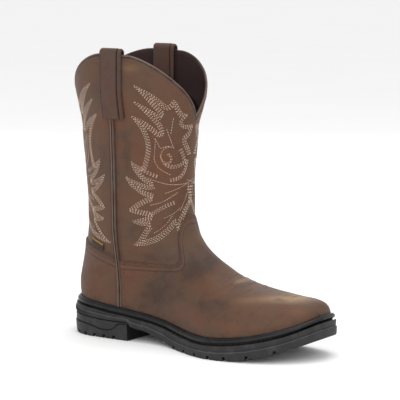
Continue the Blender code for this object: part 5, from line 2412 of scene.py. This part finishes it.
# Rows of the toe stitching, as places on the outer side of the foot
WRINKLES = (
    ((194.5, -22.6, 73.2), (196.0, -13.6, 75.7), (195.7, -1.5, 77.6)),
    ((200.9, -30.1, 67.3), (202.3, -21.6, 70.7), (202.3, -12.1, 73.5)),
    ((206.6, -28.4, 66.5), (208.9, -18.7, 69.4)),
    ((213.9, -33.0, 62.2), (214.5, -20.5, 67.3)),
    ((216.8, -32.1, 61.9), (216.3, -23.3, 65.7)),
    ((220.7, -31.7, 61.2), (228.0, -27.8, 61.3)),
    ((214.8, -5.4, 70.1), (216.0, 0.6, 69.8)),
    ((221.5, -22.0, 64.4), (222.5, -12.0, 67.2)),
)


@dataclass
class ToeStitching:
    """Small rows of wrinkle stitching across the vamp, the same on both sides."""

    stitch: Stitches = Stitches(2.0, 1.7, 0.8)
    lift: float = 0.05
    points: int = 24

    def build(self, finishes: Finishes, tree: Nodes) -> None:
        """Sews the wrinkle rows.

        Args:
            finishes: the boot's materials.
            tree: Geometry Nodes that lay the stitches.
        """
        rows = []
        for wrinkle in WRINKLES:
            angle, row = locate(wrinkle)
            share = np.linspace(0, 1, len(angle))
            at = np.linspace(0, 1, self.points)
            turn = np.interp(at, share, angle)
            for place in (turn, 2 * np.pi - turn):
                rows.append(skin(place, np.interp(at, share, row), GAP + LEATHER + self.lift))
        seat(sew("toe_stitches", tree, rows, self.stitch, finishes.rust_thread), "upper_leather")


class Bar(NamedTuple):
    """Bar row below a strap: height, half width, distance out and gap at the side seam."""

    z: float
    half: float
    out: float
    gap: float


@dataclass
class SeamStitching:
    """Rows that hold the seams, edges, straps and collar."""

    seam_distance: float = 5.6
    seam_top: float = 233.0
    vamp_top: float = 84.6
    seam_stitch: Stitches = Stitches(2.4, 2.0, 0.6)
    edge_distances: tuple[float, ...] = (1.3, 3.8, 9.4)
    strap_shares: tuple[float, ...] = (-0.86, 0.58, 0.9)
    collar_drop: float = 0.22
    lift: float = 0.15
    over_leather: float = GAP + LEATHER
    seam_gap: float = 3.0
    bar_rows: tuple[Bar, ...] = (
        Bar(236.6, 12.0, 3.0, 0.0),
        Bar(229.5, 7.5, 0.2, 2.4),
        Bar(227.9, 7.5, 0.2, 2.4),
    )
    bar_middle: float = 73.0
    strap_margin: float = 1.5
    strap_over: float = 16.0
    points: int = 220

    def seam_rows(self) -> list[Array]:
        """Rows on both sides of the side seams, from the strap to the welt.

        Returns:
            The points of each row.
        """
        rows = []
        for side in (OUTER, INNER):
            for way in (-1, 1):
                x = SIDE_SEAM_X + way * self.seam_distance
                z = np.linspace(float(level_at("leather", x)) + 1.5, self.seam_top, self.points)
                top = self.vamp_top if way > 0 else float(look_up(COUNTER_EDGE, "x", "z", x)) - 0.6
                out = self.lift + self.over_leather * (z < top)
                rows.append(wall_point(side, np.full_like(z, x), z, out))
        return rows

    def edge_rows(self, overlay: Overlay) -> list[Array]:
        """Rows along an overlay's upper edge.

        Args:
            overlay: the vamp or the counter.

        Returns:
            The points of each row.
        """
        share = np.linspace(0.0, 1.0, 240)
        top = overlay.top_rows(share)
        angles, rows, from_edge = overlay.both_halves(*overlay.chart(share, top))
        made = []
        for distance in self.edge_distances:
            at, turn = (
                np.array([np.interp(-distance, -away, values) for away, values in zip(from_edge.T, grid.T)])
                for grid in (rows, angles)
            )
            line = skin(turn, at, self.over_leather - 0.1)
            made.append(line[np.abs(line[:, 0] - SIDE_SEAM_X) > self.seam_gap])
        return made

    def collar_line(self) -> list[Array]:
        """Row just below the collar's piping."""
        angles = np.linspace(0, 2 * np.pi, 700)
        return [skin(angles, TOP_ROW - self.collar_drop, 0.12)]

    def bars(self) -> list[Array]:
        """Bar rows at the lower ends of the outer pull straps, broken by the side seam.

        Returns:
            The points of each row.
        """
        rows = []
        for side in (OUTER, INNER):
            for bar in self.bar_rows:
                x = np.linspace(-bar.half, bar.half, 30) + self.bar_middle
                clear = np.abs(x - SIDE_SEAM_X) > bar.gap
                line = wall_point(side, x, np.full_like(x, bar.z), np.full_like(x, bar.out))
                for part in np.split(np.arange(30), [14, 15]):
                    if len(part) > 3 and clear[part].all():
                        rows.append(line[part])
        return rows

    def build(
        self,
        finishes: Finishes,
        tree: Nodes,
        straps: Sequence[PullStrap],
        overlays: Sequence[Overlay],
    ) -> None:
        """Sews every plain row.

        Args:
            finishes: the boot's materials.
            tree: Geometry Nodes that lay the stitches.
            straps: the pull straps.
            overlays: the vamp and the counter.
        """
        dark = [row for overlay in overlays for row in self.edge_rows(overlay)] + self.bars()
        seat(sew("edge_stitches", tree, dark, self.seam_stitch, finishes.dark_thread), "upper_leather")
        rust = self.seam_rows() + self.collar_line()
        seat(sew("seam_stitches", tree, rust, self.seam_stitch, finishes.rust_thread), "upper_leather")
        lines = []
        for strap in straps:
            low = strap.outer_end + self.strap_margin
            top = strap.straight_from + self.strap_over
            lines += [strap.face_line(share, low, top) for share in self.strap_shares]
        seat(sew("strap_stitches", tree, lines, self.seam_stitch, finishes.dark_thread), "strap_leather")


# Camera, light and floor


@dataclass
class Studio:
    """Pale floor, soft lights and the camera at the photograph's angle."""

    azimuth: float = 33.0
    elevation: float = 7.33
    roll: float = 0.41
    lens: float = 167.22
    sensor: float = 36.0
    distance: float = 1.93036
    target: tuple[float, float, float] = (0.11307, 0.0, 0.15095)
    world_strength: float = 0.95

    def build(self) -> None:
        """Makes the floor, the lights and the camera."""
        self.floor()
        self.light("key", (0.7, -1.8, 1.3), 1.3, 13.0)
        self.light("fill", (1.9, -1.0, 1.0), 1.4, 4.0)
        self.light("top", (0.35, 0.1, 2.2), 1.4, 14.0)
        self.light("rim", (-0.8, 1.6, 1.2), 1.2, 4.0)
        world = bpy.data.worlds.new("soft_white")
        world.use_nodes = True
        background = world.node_tree.nodes["Background"]
        background.inputs["Color"].default_value = (1.0, 1.0, 1.0, 1.0)
        background.inputs["Strength"].default_value = self.world_strength
        scene = bpy.context.scene
        scene.world = world
        scene.view_settings.view_transform = "Standard"
        self.camera()

    def floor(self) -> None:
        """Plain pale floor."""
        mesh = bpy.data.meshes.new("floor")
        reach = 30.0
        corners = [(-reach, -reach, 0), (reach, -reach, 0), (reach, reach, 0), (-reach, reach, 0)]
        mesh.from_pydata(corners, [], [(0, 1, 2, 3)])
        recipe = Recipe("floor_paper")
        tone = recipe.mix(recipe.noise(3, 2), (0.93, 0.93, 0.93), (0.96, 0.96, 0.96))
        mesh.materials.append(recipe.finish(Base_Color=tone, Roughness=0.9, Specular_IOR_Level=0.1))
        made = bpy.data.objects.new("floor", mesh)
        bpy.context.scene.collection.objects.link(made)

    def light(self, name: str, place: tuple[float, float, float], size: float, power: float) -> None:
        """Soft square light that faces the boot.

        Args:
            name: its name.
            place: where it stands, in metres.
            size: its side.
            power: its power in watts.
        """
        data = bpy.data.lights.new(name, "AREA")
        data.size = size
        data.energy = power
        made = bpy.data.objects.new(name, data)
        made.location = place
        toward = Vector(self.target) - Vector(place)
        made.rotation_euler = toward.to_track_quat("-Z", "Y").to_euler()
        bpy.context.scene.collection.objects.link(made)

    def camera(self) -> None:
        """Camera that sees the boot as the photograph does."""
        turn = math.radians(self.azimuth)
        rise = math.radians(self.elevation)
        roll = math.radians(self.roll)
        back = Vector((math.sin(turn) * math.cos(rise), -math.cos(turn) * math.cos(rise), math.sin(rise)))
        right = Vector((math.cos(turn), math.sin(turn), 0.0))
        up = back.cross(right)
        across = right * math.cos(roll) + up * math.sin(roll)
        upward = up * math.cos(roll) - right * math.sin(roll)
        data = bpy.data.cameras.new("camera")
        data.lens = self.lens
        data.sensor_width = self.sensor
        made = bpy.data.objects.new("camera", data)
        turned = Matrix((across, upward, back)).transposed().to_4x4()
        made.matrix_world = Matrix.Translation(Vector(self.target) + back * self.distance) @ turned
        bpy.context.scene.collection.objects.link(made)
        bpy.context.scene.camera = made


def main() -> None:
    """Builds every piece, then the studio."""
    logging.basicConfig(level=logging.INFO, format="%(message)s")
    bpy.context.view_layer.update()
    finishes = make_finishes()
    tree = stitch_tree()
    overlays = (Overlay(Part.VAMP), Overlay(Part.COUNTER))
    straps = (PullStrap("pull_strap_outer", OUTER), PullStrap("pull_strap_inner", INNER))
    Shaft().build(finishes)
    for piece in (*overlays, *straps):
        piece.build(finishes)
    for piece in (SideSeam("side_seam_outer", OUTER), SideSeam("side_seam_inner", INNER)):
        piece.build(finishes)
    for piece in (Collar(), SideTab(), Footbed(), Welt()):
        piece.build(finishes)
    Sole().build(finishes, tree)
    for panel in Panel:
        ShaftPattern(panel).build(finishes, tree)
    ToeStitching().build(finishes, tree)
    SeamStitching().build(finishes, tree, straps, overlays)
    Studio().build()


if __name__ == "__main__":
    main()
